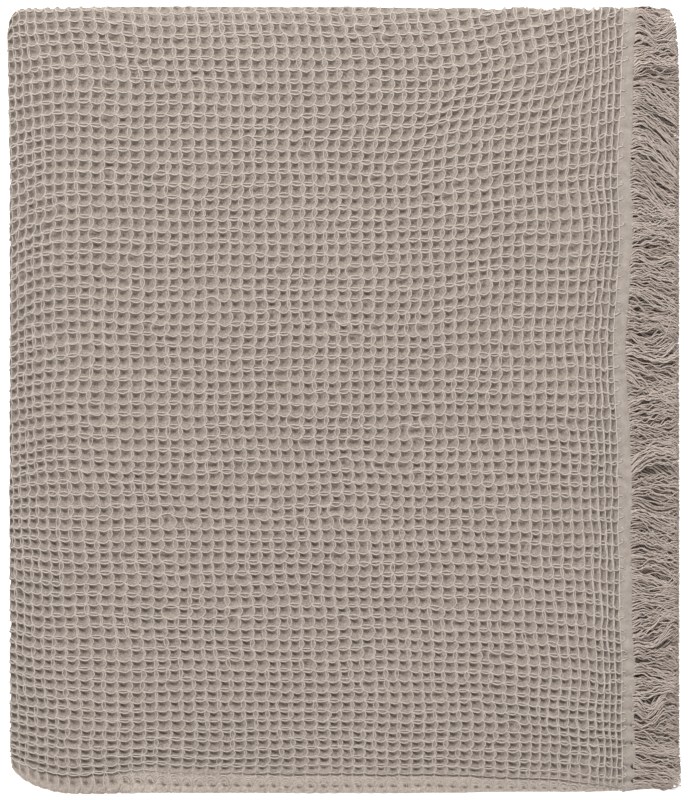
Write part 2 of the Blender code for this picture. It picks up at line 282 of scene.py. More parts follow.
# Distance behind the crease, pitch of the rows
ROW_PITCH_BEHIND = (
    (0.0, 0.0062), (0.012, 0.0076), (0.03, 0.0080), (0.06, 0.0085), (0.09, 0.0089), (0.15, 0.0093),
    (0.22, 0.0097), (0.50, 0.0098), (0.58, 0.0098), (0.62, 0.0094), (0.66, 0.0092), (0.80, 0.0098),
)
ROW_PITCH = 0.0098
FOLD_ROW_PITCH = 0.0162
CREASE_Y = -0.3160
# The last cell takes up what is left, up to this many pitches
LONGEST_CELL = 1.5


def grid_lines(pitch_at, end):
    """Lines from 0 to an end, each a pitch after the last."""
    lines = [0.0]
    while lines[-1] < end - LONGEST_CELL * pitch_at(lines[-1]):
        lines.append(lines[-1] + pitch_at(lines[-1]))
    return np.array(lines + [end])


def front_pitch(place):
    """Pitch of the rows in front of the crease. The first is long, for it goes over the fold."""
    return FOLD_ROW_PITCH if place == 0 else ROW_PITCH


crease_across = LAYER_ONE_START + LAYER_ONE_BACK_Y - CREASE_Y
columns = grid_lines(smooth_table(COLUMN_PITCH, reach=0.003), PATH_END)
rows_back = crease_across - grid_lines(smooth_table(ROW_PITCH_BEHIND, reach=0.01), crease_across)[::-1]
rows_front = crease_across + grid_lines(front_pitch, SECTION_END - crease_across)
rows = np.append(rows_back, rows_front[1:])
crease_row = len(rows_back) - 1
print(f"{len(columns) - 1} columns by {len(rows) - 1} rows of cells, the crease at row {crease_row}")

# %% How the grid bends: rows first
LEFT_TURN_ALONG = 0.535
# y, how far the rows are moved at the left turn, and at the fringed end
ROW_BEND = (
    (-0.360, 0.004, -0.002), (-0.334, 0.004, -0.003), (-0.300, 0.006, -0.006),
    (-0.245, 0.006, -0.012), (-0.190, 0.007, -0.011), (-0.136, 0.0035, -0.006),
    (-0.080, -0.003, -0.002), (-0.027, -0.0075, -0.004), (0.027, -0.011, -0.002),
    (0.080, -0.015, 0.003), (0.136, -0.0165, 0.007), (0.190, -0.0125, 0.016),
    (0.245, -0.007, 0.030), (0.270, -0.003, 0.036), (0.300, 0.002, 0.038), (0.334, 0.004, 0.034),
    (0.420, 0.000, 0.000),
)
LEFT_BEND_REACH = 0.026
END_BEND_START = 0.228
END_BEND_POWER = 2.2
# y, rise of the rows to a low step right of the middle, and to a hump before the left turn
ROW_STEP = (
    (-0.334, 0.0, 0.0), (-0.10, 0.0, 0.0005), (-0.03, 0.001, 0.0012), (0.03, 0.002, 0.0025),
    (0.08, 0.006, 0.0033), (0.19, 0.006, 0.0033), (0.25, 0.004, 0.0028), (0.334, 0.002, 0.0033),
    (0.40, 0.0, 0.0),
)
STEP_START = 0.190
STEP_END = 0.080
HUMP_PLACE = 0.4650
HUMP_REACH = 0.045
# x, y, share of its depth: the path of the crease near the front edge
CREASE = (
    (-0.290, -0.3150, 0.0), (-0.271, -0.3160, 0.9), (-0.257, -0.3169, 1.0), (-0.240, -0.3175, 1.0),
    (-0.224, -0.3160, 1.0), (-0.207, -0.3157, 0.9), (-0.195, -0.3142, 0.3), (-0.125, -0.3140, 0.25),
    (-0.085, -0.3145, 0.9), (0.0, -0.3160, 1.0), (0.10, -0.3160, 1.0), (0.17, -0.3200, 0.9),
    (0.220, -0.3230, 0.4), (0.243, -0.3240, 0.0),
)
CREASE_SHIFT_REACH = 0.014
crease_shift = smooth_table([(x, y - CREASE_Y) for x, y, _ in CREASE], reach=0.02)
left_bend = smooth_table([(y, left) for y, left, _ in ROW_BEND], reach=0.03)
end_bend = smooth_table([(y, end) for y, _, end in ROW_BEND], reach=0.02)
row_step = smooth_table([(y, step) for y, step, _ in ROW_STEP], reach=0.03)
row_hump = smooth_table([(y, hump) for y, _, hump in ROW_STEP], reach=0.03)
print(f"the rows rise by up to {max(end for _, _, end in ROW_BEND) * 1000:.0f} mm at the fringed end")

# %% Then the columns, and slow waves in both
# y, lean of the columns towards x
COLUMN_LEAN = (
    (-0.334, 0.0120), (-0.280, 0.0128), (-0.245, 0.0118), (-0.136, 0.0066), (-0.030, 0.0008),
    (0.0, 0.0), (0.262, 0.0), (0.300, -0.004), (0.334, -0.0095), (0.36, -0.012),
)
# y, bulge of the columns towards x; distance along the path, share of it
COLUMN_BULGE = (
    (0.18, 0.0), (0.210, 0.0008), (0.228, 0.0036), (0.250, 0.0088), (0.270, 0.0115),
    (0.290, 0.0110), (0.334, 0.0070),
)
BULGE_REACH = ((0.015, 0.0), (0.06, 0.7), (0.12, 1.0), (0.18, 0.8), (0.27, 0.0))
# Wavelength along and across, phase, height along and across
GRID_WAVES = (
    (0.190, 0.120, 0.3, 0.0005, 0.0006),
    (-0.125, 0.160, 1.9, 0.0004, 0.0004),
    (0.083, -0.230, 4.0, 0.0003, 0.0003),
    (0.320, 0.061, 2.7, 0.0006, 0.0002),
)
# Distance along the path, share of the lean, and of the waves
LEAN_REACH = ((0.0, 0.0), (0.03, 0.45), (0.09, 1.0), (0.50, 1.0), (0.60, 0.0))
HELD_ENDS = ((0.0, 0.0), (0.02, 1.0), (PATH_END - 0.02, 1.0), (PATH_END, 0.0))
column_lean = smooth_table(COLUMN_LEAN, reach=0.02)
column_bulge = smooth_table(COLUMN_BULGE, reach=0.012)
bulge_reach = smooth_table(BULGE_REACH, reach=0.02)
lean_reach = smooth_table(LEAN_REACH, reach=0.01)
hold_at_ends = smooth_table(HELD_ENDS, reach=0.004)


def bell(distance, reach):
    """1 at no distance, and falling off to nothing over twice the reach."""
    return np.exp(-((distance / reach) ** 2))


def bend_grid(along, across):
    """Moves places on the straight grid to where the cloth's own ridges lie."""
    y = LAYER_ONE_BACK_Y - (across - LAYER_ONE_START)
    near_left = np.exp(-np.abs(along - LEFT_TURN_ALONG) / LEFT_BEND_REACH)
    near_end = np.clip(1 - along / END_BEND_START, 0, 1) ** END_BEND_POWER
    up = left_bend(y) * near_left + end_bend(y) * near_end
    stepped = np.clip((STEP_START - along) / (STEP_START - STEP_END), 0, 1)
    up = up + row_step(y) * stepped**2 * (3 - 2 * stepped)
    up = up + row_hump(y) * bell(along - HUMP_PLACE, HUMP_REACH)
    up = up + crease_shift(CLOTH_END_X - along) * bell(across - crease_across, CREASE_SHIFT_REACH)
    right = column_lean(y) * lean_reach(along) + column_bulge(y) * bulge_reach(along)
    for wave_along, wave_across, phase, high_along, high_across in GRID_WAVES:
        angle = 2 * math.pi * (along / wave_along + across / wave_across) + phase
        right = right + high_along * np.sin(angle) * hold_at_ends(along)
        up = up + high_across * np.cos(angle)
    return along - right, across - up


def along_at(column):
    return np.interp(column, np.arange(len(columns)), columns)


def across_at(row):
    return np.interp(row, np.arange(len(rows)), rows)


def on_grid(column, row, height):
    """Points of the cloth at places counted in columns and rows."""
    return on_folds(*bend_grid(along_at(column), across_at(row)), height)


print(f"the columns lean by up to {max(lean for _, lean in COLUMN_LEAN) * 1000:.0f} mm")

# %% [markdown]
# ## One cell
# A cell is a ring of raised yarns round a sunken floor. Each side of the ring bows a little, because
# the yarns slide on each other: sides across the cloth hang like a chain, sides along it bulge to the
# left or to the right. Random numbers from a fixed seed give each side its own bow and each ridge its
# own strength, so the cloth is the same on every run and no two cells are alike.

# %% Sizes of a cell, and how much cells differ
RIDGE_TOP = 0.0021
CELL_FLOOR = -0.0010
# What follows is counted in cells, and each spread is a standard deviation
SAG = 0.225
SAG_SPREAD = 0.040
SAG_SKEW = 0.75
# Share of the sides that go the other way, and what their sag or bow is multiplied by
UPWARD_SHARE = 0.02
UPWARD_SAG = -0.6
CREASE_SAG = 0.25
BOW = -0.25
BOW_SPREAD = 0.035
OTHER_WAY_SHARE = 0.04
OTHER_WAY_BOW = -0.8
ROW_CORNER_SPREAD = 0.026
COLUMN_CORNER_SPREAD = 0.034
ROW_STRENGTH_SPREAD = 0.10
COLUMN_STRENGTH = 0.93
COLUMN_STRENGTH_SPREAD = 0.12
# Near the header the cells are narrow, their sides almost straight and their corners less even
BOW_SIZE = ((0.0, 0.4), (0.05, 0.55), (0.12, 1.0), (0.5, 0.9))
UNEVEN_SHARE = ((0.0, 2.6), (0.03, 2.2), (0.08, 1.2), (0.14, 1.0), (0.5, 1.0))
print(f"a cell is about {ROW_PITCH * 1000:.1f} mm long and {(RIDGE_TOP - CELL_FLOOR) * 1000:.1f} mm deep")

# %% The cells' own differences
rng = np.random.default_rng(20)
grid_shape = (len(columns) + 1, len(rows) + 1)
bow_size = smooth_table(BOW_SIZE, reach=0.01)(np.append(columns, PATH_END))[:, None]
uneven_share = smooth_table(UNEVEN_SHARE, reach=0.01)(np.append(columns, PATH_END))[:, None]
row_sag = SAG + SAG_SPREAD * rng.standard_normal(grid_shape)
row_sag[rng.random(grid_shape) < UPWARD_SHARE] *= UPWARD_SAG
row_sag[:, crease_row] *= CREASE_SAG
column_bow = BOW + BOW_SPREAD * rng.standard_normal(grid_shape)
column_bow[rng.random(grid_shape) < OTHER_WAY_SHARE] *= OTHER_WAY_BOW
column_bow *= bow_size
corner_row = ROW_CORNER_SPREAD * uneven_share * rng.standard_normal(grid_shape)
corner_column = COLUMN_CORNER_SPREAD * uneven_share * rng.standard_normal(grid_shape)
row_strength = 1 + ROW_STRENGTH_SPREAD * rng.standard_normal(grid_shape)
column_strength = COLUMN_STRENGTH + COLUMN_STRENGTH_SPREAD * rng.standard_normal(grid_shape)
print(grid_shape[0] * grid_shape[1], "corners of cells, each with its own shift")


# %% How the yarns have slid
def in_cells(column, row):
    """The cells that places of the grid lie in, and their places inside them."""
    a = np.floor(column).astype(int)
    b = np.floor(row).astype(int)
    return a, b, column - a, row - b


def arch(place):
    """0 at both ends of a side, and 1 in its middle."""
    return 4 * place * (1 - place)


def cell_shift(column, row):
    """How far the yarns at places of the grid have slid, in columns and rows."""
    a, b, u, v = in_cells(column, row)
    down = arch(u**SAG_SKEW) * (row_sag[a, b] * (1 - v) ** 2 + row_sag[a, b + 1] * v**2)
    sideways = arch(v) * (column_bow[a, b] * (1 - u) ** 2 + column_bow[a + 1, b] * u**2)
    for corner_a, share_a in ((a, 1 - u), (a + 1, u)):
        for corner_b, share_b in ((b, 1 - v), (b + 1, v)):
            down = down + corner_row[corner_a, corner_b] * share_a * share_b
            sideways = sideways + corner_column[corner_a, corner_b] * share_a * share_b
    return sideways, down


print(f"the side of a cell hangs by {SAG * ROW_PITCH * 1000:.1f} mm")

# %% The relief of a cell
RIDGE_HALF_WIDTH = 0.5
RIDGE_POWER = 1.6
HIGHEST = 1.1


def ridge(distance):
    """The height of a ridge at a distance from its middle, in cells."""
    return np.clip(1 - distance / RIDGE_HALF_WIDTH, 0, 1) ** RIDGE_POWER


def relief(column, row):
    """The height of the cloth's face at places of the grid, from 0 on the floors to 1 on the ridges."""
    a, b, u, v = in_cells(column, row)
    up_column = ridge(u) * column_strength[a, b] + ridge(1 - u) * column_strength[a + 1, b]
    up_row = ridge(v) * row_strength[a, b] + ridge(1 - v) * row_strength[a, b + 1]
    return 1 - (1 - np.clip(up_column, 0, HIGHEST)) * (1 - np.clip(up_row, 0, HIGHEST))


ridge_and_floor = relief(np.array((20.0, 20.5)), np.array((30.0, 30.5)))
print("relief on a crossing and on a floor:", ridge_and_floor.round(2).tolist())

# %% [markdown]
# ## The crease
# Near the front edge the top layer has a crease along one row of ridges, where it slid over its own
# fold. The row next to it rolls over a little, and below it the cells are stretched almost flat. They
# open up again towards the left corner.

# %% Sizes of the crease
CREASE_DEPTH = 0.0030
CREASE_LIP = 0.0012
BACK_OF_TROUGH = 0.45
# Places in the row below the crease, and where its points go to make a narrow trough
CREASE_PLACES = ((0.0, 0.2, 0.5, 0.8, 1.0), (0.0, 0.07, 0.17, 0.58, 1.0))
TROUGH_PLACE = 0.07
# Reaches over which the trough, its painted shadow and its lip fall off, in rows
TROUGH_REACH = 0.045
SHADE_REACH = 0.06
LIP_REACH = 0.12
# Rows below the crease, how flat the cells are there
FLAT_CELLS = (
    (-2.0, 0.0), (-1.2, 0.0), (-0.9, 0.22), (-0.4, 0.5),
    (0.0, 0.65), (0.35, 1.0), (3.0, 1.0), (4.5, 0.3),
)
# How much of its relief a flat cell loses, and the height that its face takes instead
FLAT_LOSS = 0.62
FLAT_HEIGHT = 0.55
# Places along the path between which the flat cells open up again, and how flat they stay
FLAT_END = (0.40, 0.44)
FLAT_PAST_END = 0.30
# Share of the relief that is left at the long folds, before those places and past them
FOLD_RELIEF = (0.12, 0.45)
FOLD_REACH = 0.011
crease_share = smooth_table([(x, share) for x, _, share in CREASE], reach=0.01)
flat_cells_at = smooth_table(FLAT_CELLS, reach=0.15)
print(f"the crease is {CREASE_DEPTH * 1000:.0f} mm deep")


# %% The height of the cloth's face
def fold_relief(column, across):
    """Share of the relief that is left where the cloth is bent over at its long folds."""
    kept = np.interp(along_at(column), FLAT_END, FOLD_RELIEF)
    share = 1.0
    for fold in (LAYER_ONE_START - math.pi * LAYER_PITCH / 4, front_start + math.pi * LAYER_PITCH / 2):
        share = share - (1 - kept) * bell(across - fold, FOLD_REACH)
    return share


def flatness_at(column, row):
    """How far the cells are pulled flat, from 0 to 1: those below the crease on the top layer."""
    return flat_cells_at(row - crease_row) * np.interp(along_at(column), FLAT_END, (1.0, FLAT_PAST_END))


def crease_strength(column):
    """How strongly the crease shows at a column, from 0 to 1."""
    along = along_at(column)
    return crease_share(CLOTH_END_X - along) * ((along < LEFT_TURN_ALONG) & (along > 0))


def trough_depth(column, row):
    """Depth of the crease's trough."""
    trough = bell(row - crease_row - TROUGH_PLACE, TROUGH_REACH) * CREASE_DEPTH
    return crease_strength(column) * trough


def crease_shade(column, row):
    """How far a place lies in the crease's own shadow, from 0 to 1: the cotton's colour paints it darker
    there.
    """
    return crease_strength(column) * bell(row - crease_row - TROUGH_PLACE, SHADE_REACH)


def face_height(column, row):
    """The height of the cloth's face over its middle, with the crease and the flat cells below it."""
    lost = flatness_at(column, row) * FLAT_LOSS
    height = relief(column, row) * (1 - lost) + FLAT_HEIGHT * lost
    height = CELL_FLOOR + (RIDGE_TOP - CELL_FLOOR) * height
    height = height * fold_relief(column, across_at(row))
    lip = bell(row - crease_row, LIP_REACH) * CREASE_LIP
    return height + crease_strength(column) * lip - trough_depth(column, row)


print(f"at column 25 the crease shows with a strength of {crease_strength(25.0):.2f}")

# %% [markdown]
# ## A mesh that is fine only where it shows
# Every cell on the outside gets sixteen faces. A hidden layer needs none of that, so sixteen of its
# cells share one face. Where a large face meets small ones it takes their points into its own outline,
# and the mesh stays in one piece with no cracks.

# %% Which cells show
# Steps in a cell each way, and the places of its points: closer together near the ridges
UNITS = 4
UNIT_PLACES = np.array((0.0, 0.2, 0.5, 0.8))
# Hidden cells that share a face, each way
TILE = 4
# Places along the path: where the left turn meets the floor, and the turn on the right
FLOOR_ALONG = 0.556
UNDERSIDE_END = 1.045
RIGHT_TURN_END = 1.090
INNER_TURN_SHIFT = 0.02
TURN_REACH = 0.04
FOLD_MARGIN = 0.012

cell_along = (columns[:-1] + columns[1:]) / 2
cell_across = (rows[:-1] + rows[1:]) / 2
back_fold = (LAYER_ONE_START - math.pi * LAYER_PITCH / 2 - FOLD_MARGIN, LAYER_ONE_START + FOLD_MARGIN)
front_fold = (front_start - FOLD_MARGIN, front_start + math.pi * LAYER_PITCH + FOLD_MARGIN)
in_folds = np.zeros(len(cell_across), bool)
for low, high in (back_fold, front_fold):
    in_folds |= (cell_across > low) & (cell_across < high)
in_layer_one = (cell_across > LAYER_ONE_START) & (cell_across < front_start)
on_top = cell_along < FLOOR_ALONG
at_right_turn = (cell_along >= UNDERSIDE_END) & (cell_along < RIGHT_TURN_END)
fine = (on_top[:, None] & (in_layer_one | in_folds)[None, :]) | in_folds[None, :]
single = at_right_turn[:, None] & in_layer_one[None, :] & ~fine
inner_turn_along = PATH_END - (CLOTH_END_X + HALF_WIDTH - INNER_TURN_INSET) - math.pi * TURN_RADIUS
turns = np.abs(cell_along - inner_turn_along - INNER_TURN_SHIFT) < TURN_REACH
turns |= np.abs(cell_along - LEFT_TURN_ALONG) < TURN_REACH
turns |= at_right_turn
single |= turns[:, None] & ~fine
print(f"{fine.sum()} fine cells, {single.sum()} plain ones")


# %% Blocks of the mesh, and the outline of each
def blocks_of_cloth():
    """Corners and sizes of the blocks, in units: the fine ones as an array, the others as a list."""
    a, b = np.nonzero(fine)
    step_a, step_b = np.divmod(np.arange(UNITS**2), UNITS)
    small_a = (a[:, None] * UNITS + step_a).ravel()
    small_b = (b[:, None] * UNITS + step_b).ravel()
    large = []
    for tile_a in range(0, len(cell_along), TILE):
        for tile_b in range(0, len(cell_across), TILE):
            end_a = min(tile_a + TILE, len(cell_along))
            end_b = min(tile_b + TILE, len(cell_across))
            here = (slice(tile_a, end_a), slice(tile_b, end_b))
            if not fine[here].any() and not single[here].any():
                large.append((tile_a * UNITS, tile_b * UNITS, end_a * UNITS, end_b * UNITS))
                continue
            for cell_a in range(tile_a, end_a):
                for cell_b in range(tile_b, end_b):
                    if not fine[cell_a, cell_b]:
                        low = (cell_a * UNITS, cell_b * UNITS)
                        large.append((*low, low[0] + UNITS, low[1] + UNITS))
    return small_a, small_b, large


def outline(block, used):
    """The points of a block's outline that other blocks use too, in order."""
    low_a, low_b, high_a, high_b = block
    around = [(a, low_b) for a in range(low_a, high_a)]
    around += [(high_a, b) for b in range(low_b, high_b)]
    around += [(a, high_b) for a in range(high_a, low_a, -1)]
    around += [(low_a, b) for b in range(high_b, low_b, -1)]
    return [place for place in around if used[place]]


small_a, small_b, large = blocks_of_cloth()
used = np.zeros((len(cell_along) * UNITS + 1, len(cell_across) * UNITS + 1), bool)
for shift_a in (0, 1):
    for shift_b in (0, 1):
        used[small_a + shift_a, small_b + shift_b] = True
for low_a, low_b, high_a, high_b in large:
    used[[low_a, low_a, high_a, high_a], [low_b, high_b, low_b, high_b]] = True
print(f"{len(small_a)} small faces, {len(large)} large ones, {used.sum()} points")


# %% A helper that adds a piece of the bedspread
def add_piece(name, points, faces, node, slot, **fields):
    """A piece in the place of a node of the solids. The fields are values that its material reads."""
    mesh = bpy.data.meshes.new(name)
    mesh.from_pydata(points.tolist(), [], faces)
    mesh.shade_smooth()
    for field, values in fields.items():
        if values.ndim == 1:
            mesh.attributes.new(field, "FLOAT", "POINT").data.foreach_set("value", values)
        else:
            vectors = np.column_stack((values, np.zeros(len(values)))).ravel()
            mesh.attributes.new(field, "FLOAT_VECTOR", "POINT").data.foreach_set("vector", vectors)
    piece = bpy.data.objects.new(name, mesh)
    bpy.context.scene.collection.objects.link(piece)
    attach(piece, "root")
    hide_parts(node)
    print(name, "has", sum(len(face) - 2 for face in faces), "triangles")
    return piece


def place_of_unit(unit):
    return unit // UNITS + UNIT_PLACES[unit % UNITS]


def by_crease(row):
    """Moves the places in the row below the crease, so that its trough is narrow."""
    below = row - crease_row
    return np.where((below > 0) & (below < 1), crease_row + np.interp(below, *CREASE_PLACES), row)


# %% The face of the cloth
number = np.full(used.shape, -1)
number[used] = np.arange(used.sum())
unit_a, unit_b = np.nonzero(used)
column = place_of_unit(unit_a)
row = by_crease(place_of_unit(unit_b))
sideways, down = cell_shift(column, row)
edge_column = (unit_a == 0) | (unit_a == used.shape[0] - 1)
edge_row = (unit_b == 0) | (unit_b == used.shape[1] - 1)
slid_column = column + np.where(edge_column, 0, sideways)
slid_row = row + np.where(edge_row, 0, down)
face_points = on_grid(slid_column, slid_row, face_height(column, row))
corners = [number[small_a + da, small_b + db] for da, db in ((0, 0), (1, 0), (1, 1), (0, 1))]
faces = np.column_stack(corners).tolist()
faces += [[int(number[place]) for place in outline(block, used)] for block in large]
print(f"the face has {len(face_points)} points")

# %% [markdown]
# The back of the cloth never shows, so it is a plain sheet with stations only where the folds bend.
# A rim joins it to the face, which makes the cloth one closed body.

# %% The back of the cloth
# Units from station to station: on flat stretches, in the turns of the path and in the long folds
BACK_STEP = 16
TURN_STEP = 2
FOLD_STEP = 1


def stations(count, bent, close_step):
    """Units with a station: close together where the cloth bends, far apart elsewhere."""
    picked = {count, *range(0, count, BACK_STEP)}
    for cell in np.nonzero(bent)[0]:
        picked.update(range(cell * UNITS, (cell + 1) * UNITS + 1, close_step))
    return np.array(sorted(picked))


back_a = stations(used.shape[0] - 1, turns, TURN_STEP)
back_b = stations(used.shape[1] - 1, in_folds, FOLD_STEP)
grid_a, grid_b = np.meshgrid(back_a, back_b, indexing="ij")
back_column = place_of_unit(grid_a.ravel())
back_row = by_crease(place_of_unit(grid_b.ravel()))
back_height = -CLOTH_THICKNESS / 2 - BACK_OF_TROUGH * trough_depth(back_column, back_row)
back_points = on_grid(back_column, back_row, back_height)
first_back = len(face_points)
back_number = first_back + np.arange(grid_a.size).reshape(grid_a.shape)
faces += np.column_stack((
    back_number[:-1, :-1].ravel(),
    back_number[:-1, 1:].ravel(),
    back_number[1:, 1:].ravel(),
    back_number[1:, :-1].ravel(),
)).tolist()
print(f"the back has {len(back_points)} points")


# %% The rim, and the whole sheet
def rim(face_line, back_units, back_line, flip):
    """Faces between an edge of the face and the same edge of the back."""
    made = []
    for n in range(len(back_units) - 1):
        between = face_line[back_units[n]:back_units[n + 1] + 1]
        loop = [int(point) for point in between if point >= 0]
        loop += [int(back_line[n + 1]), int(back_line[n])]
        made.append(loop[::-1] if flip else loop)
    return made


faces += rim(number[:, 0], back_a, back_number[:, 0], True)
faces += rim(number[:, -1], back_a, back_number[:, -1], False)
faces += rim(number[0, :], back_b, back_number[0, :], False)
faces += rim(number[-1, :], back_b, back_number[-1, :], True)
face_place = np.column_stack((column, row))
back_place = np.column_stack((back_column, back_row))
flat_back = np.zeros(len(back_points))
waffle_sheet = add_piece(
    "waffle_sheet",
    np.vstack((face_points, back_points)),
    faces,
    "waffle_cloth",
    "waffle_cotton",
    grid_place=np.vstack((face_place, back_place)),
    flatness=np.append(flatness_at(column, row), flat_back),
    # share of the crease's shadow, which the cotton's colour paints darker
    in_crease=np.append(crease_shade(column, row), flat_back),
)

# %% [markdown]
# ## The yarns on the ridges
# What the eye reads as waffle weave is the pale yarn on top of each ridge. Along the rows it hangs in
# scallops from crossing to crossing, along the columns it bulges like a bracket. Beside about two sides
# in five a second yarn has come loose and closes a lens or a double rim. Each is a thin tube with three
# sides, which is enough for a yarn of about 1 mm.

# %% Tubes along lines of points
YARN_SIDES = 3
UP_STEP = 0.001


def with_up(place, along, across, height):
    """A line on the cloth, and the directions away from the cloth along it."""
    line = place(along, across, height)
    return line, place(along, across, height + UP_STEP) - line


def unit_vectors(vectors):
    return vectors / (np.linalg.norm(vectors, axis=1, keepdims=True) + 1e-12)


def tubes(yarns, radii):
    """Points, faces and places of tubes. Each yarn is a line with its directions up."""
    points = []
    places = []
    faces = []
    count = 0
    here = np.arange(YARN_SIDES)[None]
    beside = (here + 1) % YARN_SIDES
    angles = 2 * math.pi * (here + 0.25) / YARN_SIDES
    cosines = np.cos(angles)[:, :, None]
    sines = np.sin(angles)[:, :, None]
    for (line, up), radius in zip(yarns, radii):
        run = np.gradient(line, axis=0)
        side = unit_vectors(np.cross(run, up))
        over = unit_vectors(np.cross(side, run))
        ring = cosines * side[:, None] + sines * over[:, None]
        thick = np.broadcast_to(radius, len(line))[:, None, None]
        points.append((line[:, None] + ring * thick).reshape(-1, 3))
        length = np.append(0, np.cumsum(np.linalg.norm(np.diff(line, axis=0), axis=1)))
        place = np.stack(np.broadcast_arrays(length[:, None], here / YARN_SIDES), axis=-1)
        places.append(place.reshape(-1, 2))
        first = count + np.arange(len(line) - 1)[:, None] * YARN_SIDES
        second = first + YARN_SIDES
        sides = np.stack((first + here, first + beside, second + beside, second + here), -1)
        faces += sides.reshape(-1, 4).tolist()
        last = count + (len(line) - 1) * YARN_SIDES
        faces.append([count + 2, count + 1, count])
        faces.append([last, last + 1, last + 2])
        count += len(line) * YARN_SIDES
    points = np.vstack(points)
    points[:, 2] = np.maximum(points[:, 2], 0)
    return points, faces, np.vstack(places)


def add_yarns(name, yarns, radii, node, slot, tones=1.0):
    """A piece of cotton yarns, each with a tone: its own, and for the fringe's seen yarns partly painted
    shade.
    """
    points, faces, places = tubes(yarns, radii)
    tone = np.repeat(np.broadcast_to(tones, len(yarns)), [len(line) * YARN_SIDES for line, _ in yarns])
    return add_piece(name, points, faces, node, slot, yarn_place=places, tone=tone)


print("a yarn is a tube with", YARN_SIDES, "sides")

# %% Where the ridge yarns run, in columns and rows
POINTS_A_CELL = 5
YARN_LIFT = 0.0001
ROW_YARN_RADIUS = 0.00049
COLUMN_YARN_RADIUS = 0.00045
LOOSE_YARN_RADIUS = 0.00040
LOOSE = 0.010
SUNK_IN_FLAT = 0.0015
SUNK_POWER = 3


def runs(mask):
    """Starts and ends of the runs of true values in a row of them."""
    edges = np.flatnonzero(np.diff(np.concatenate(([0], mask.astype(int), [0]))))
    return edges.reshape(-1, 2)


def along_ridge(start, end, bows, skew, corners):
    """Places along a ridge from cell to cell, and how far its yarn has slid aside there."""
    cells = np.repeat(np.arange(start, end), POINTS_A_CELL)
    q = np.tile(np.arange(POINTS_A_CELL) / POINTS_A_CELL, end - start)
    between = corners[cells] * (1 - q) + corners[cells + 1] * q
    aside = np.append(arch(q**skew) * bows[cells] + between, corners[end])
    return np.append(cells + q, end), aside


def sunk(column, row):
    """How deep a yarn lies in the cloth where its cells are flat."""
    return SUNK_IN_FLAT * flatness_at(column, row) ** SUNK_POWER


def column_yarns():
    """Lines of the yarns along the columns."""
    yarns = []
    for a in range(len(columns) - 1):
        for start, end in runs(fine[max(a - 1, 0)] | fine[a]):
            row, aside = along_ridge(start, end, column_bow[a], 1, corner_column[a])
            column = a + aside + LOOSE * rng.standard_normal(len(row))
            height = face_height(np.full(len(row), float(a)), row) + YARN_LIFT - sunk(column, row)
            yarns.append(with_up(on_grid, column, row, height))
    return yarns


print(f"a row yarn is {2000 * ROW_YARN_RADIUS:.1f} mm thick")

# %% The row yarns end on the header
# Out from the cloth, share of the curl and height of the last points of a row yarn
CURL_OUT = -np.array((0.0026, 0.0044, 0.0020))
CURL_SHARES = np.array((1.5, 0.7, 0.1))
CURL_HEIGHTS = np.array((0.0009, 0.0013, 0.0018))
CURL_SIZES = (0.0012, 0.0032)
CURL_REACHES = (0.7, 1.3)


def onto_header(along, across, height):
    """Adds the end of a row yarn, which curls over the edge of the header."""
    curl = rng.uniform(*CURL_SIZES) * rng.choice((-1, 1))
    out = CURL_OUT * rng.uniform(*CURL_REACHES)
    aside = across[0] + CURL_SHARES * curl
    return np.append(out, along), np.append(aside, across), np.append(CURL_HEIGHTS, height)


def row_yarns():
    """Lines of the yarns along the rows."""
    yarns = []
    for b in range(1, len(rows) - 1):
        for start, end in runs(fine[:, b - 1] | fine[:, b]):
            column, aside = along_ridge(start, end, row_sag[:, b], SAG_SKEW, corner_row[:, b])
            row = b + aside + LOOSE * rng.standard_normal(len(column))
            height = face_height(column, np.full(len(column), float(b))) + YARN_LIFT - sunk(column, row)
            along, across = bend_grid(along_at(column), across_at(row))
            if start == 0:
                along, across, height = onto_header(along, across, height)
            if end == len(columns) - 1:
                turned = onto_header(PATH_END - along[::-1], across[::-1], height[::-1])
                along, across, height = (part[::-1] for part in turned)
                along = PATH_END - along
            yarns.append(with_up(on_folds, along, across, height))
    return yarns


print(f"a row yarn reaches {-1000 * CURL_OUT.min():.1f} mm onto the header")

# %% Loose yarns: one arc beside the side of a cell
ARC_POINTS = 6
# Shares of the cells with a lens and with a double rim, along rows and along columns
ROW_SHARES = (0.36, 0.10)
COLUMN_SHARES = (0.20, 0.20)
LENS_BOW = 0.11
RIM_OFFSET = 0.13
ARC_SPREAD = 0.03
FLATTEST = 0.3
# How fast the arc of a double rim leaves its corners, and how much it slides down the ridge's side
RIM_RISE = 3
RIM_SLIDE = 0.5


def loose_arcs(along_rows):
    """Arcs on the far side of a ridge yarn (a lens) or close inside it (a double rim)."""
    yarns = []
    lens_share, rim_share = ROW_SHARES if along_rows else COLUMN_SHARES
    bows, corners = (row_sag, corner_row) if along_rows else (column_bow, corner_column)
    q = np.linspace(0, 1, ARC_POINTS)
    for a, b in zip(*np.nonzero(fine)):
        pick = rng.random()
        spread = ARC_SPREAD * rng.standard_normal()
        if pick > lens_share + rim_share or flatness_at(a, b) > FLATTEST:
            continue
        main = bows[a, b]
        far = corners[a + 1, b] if along_rows else corners[a, b + 1]
        is_lens = pick < lens_share
        bow = (-math.copysign(LENS_BOW, main) if is_lens else main) + spread
        offset = 0.0 if is_lens else -math.copysign(RIM_OFFSET, main)
        inside = offset * np.clip(RIM_RISE * arch(q), 0, 1)
        aside = bow * arch(q) + corners[a, b] * (1 - q) + far * q + inside
        to_ridge = aside - RIM_SLIDE * inside
        if along_rows:
            column = a + q
            row = b + aside
            height = face_height(column, row - to_ridge)
        else:
            column = a + aside
            row = b + q
            height = face_height(column - to_ridge, row)
        yarns.append(with_up(on_grid, column, row, height + YARN_LIFT))
    return yarns


print(f"loose yarns: {sum(ROW_SHARES):.0%} of the row sides, {sum(COLUMN_SHARES):.0%} of the column sides")

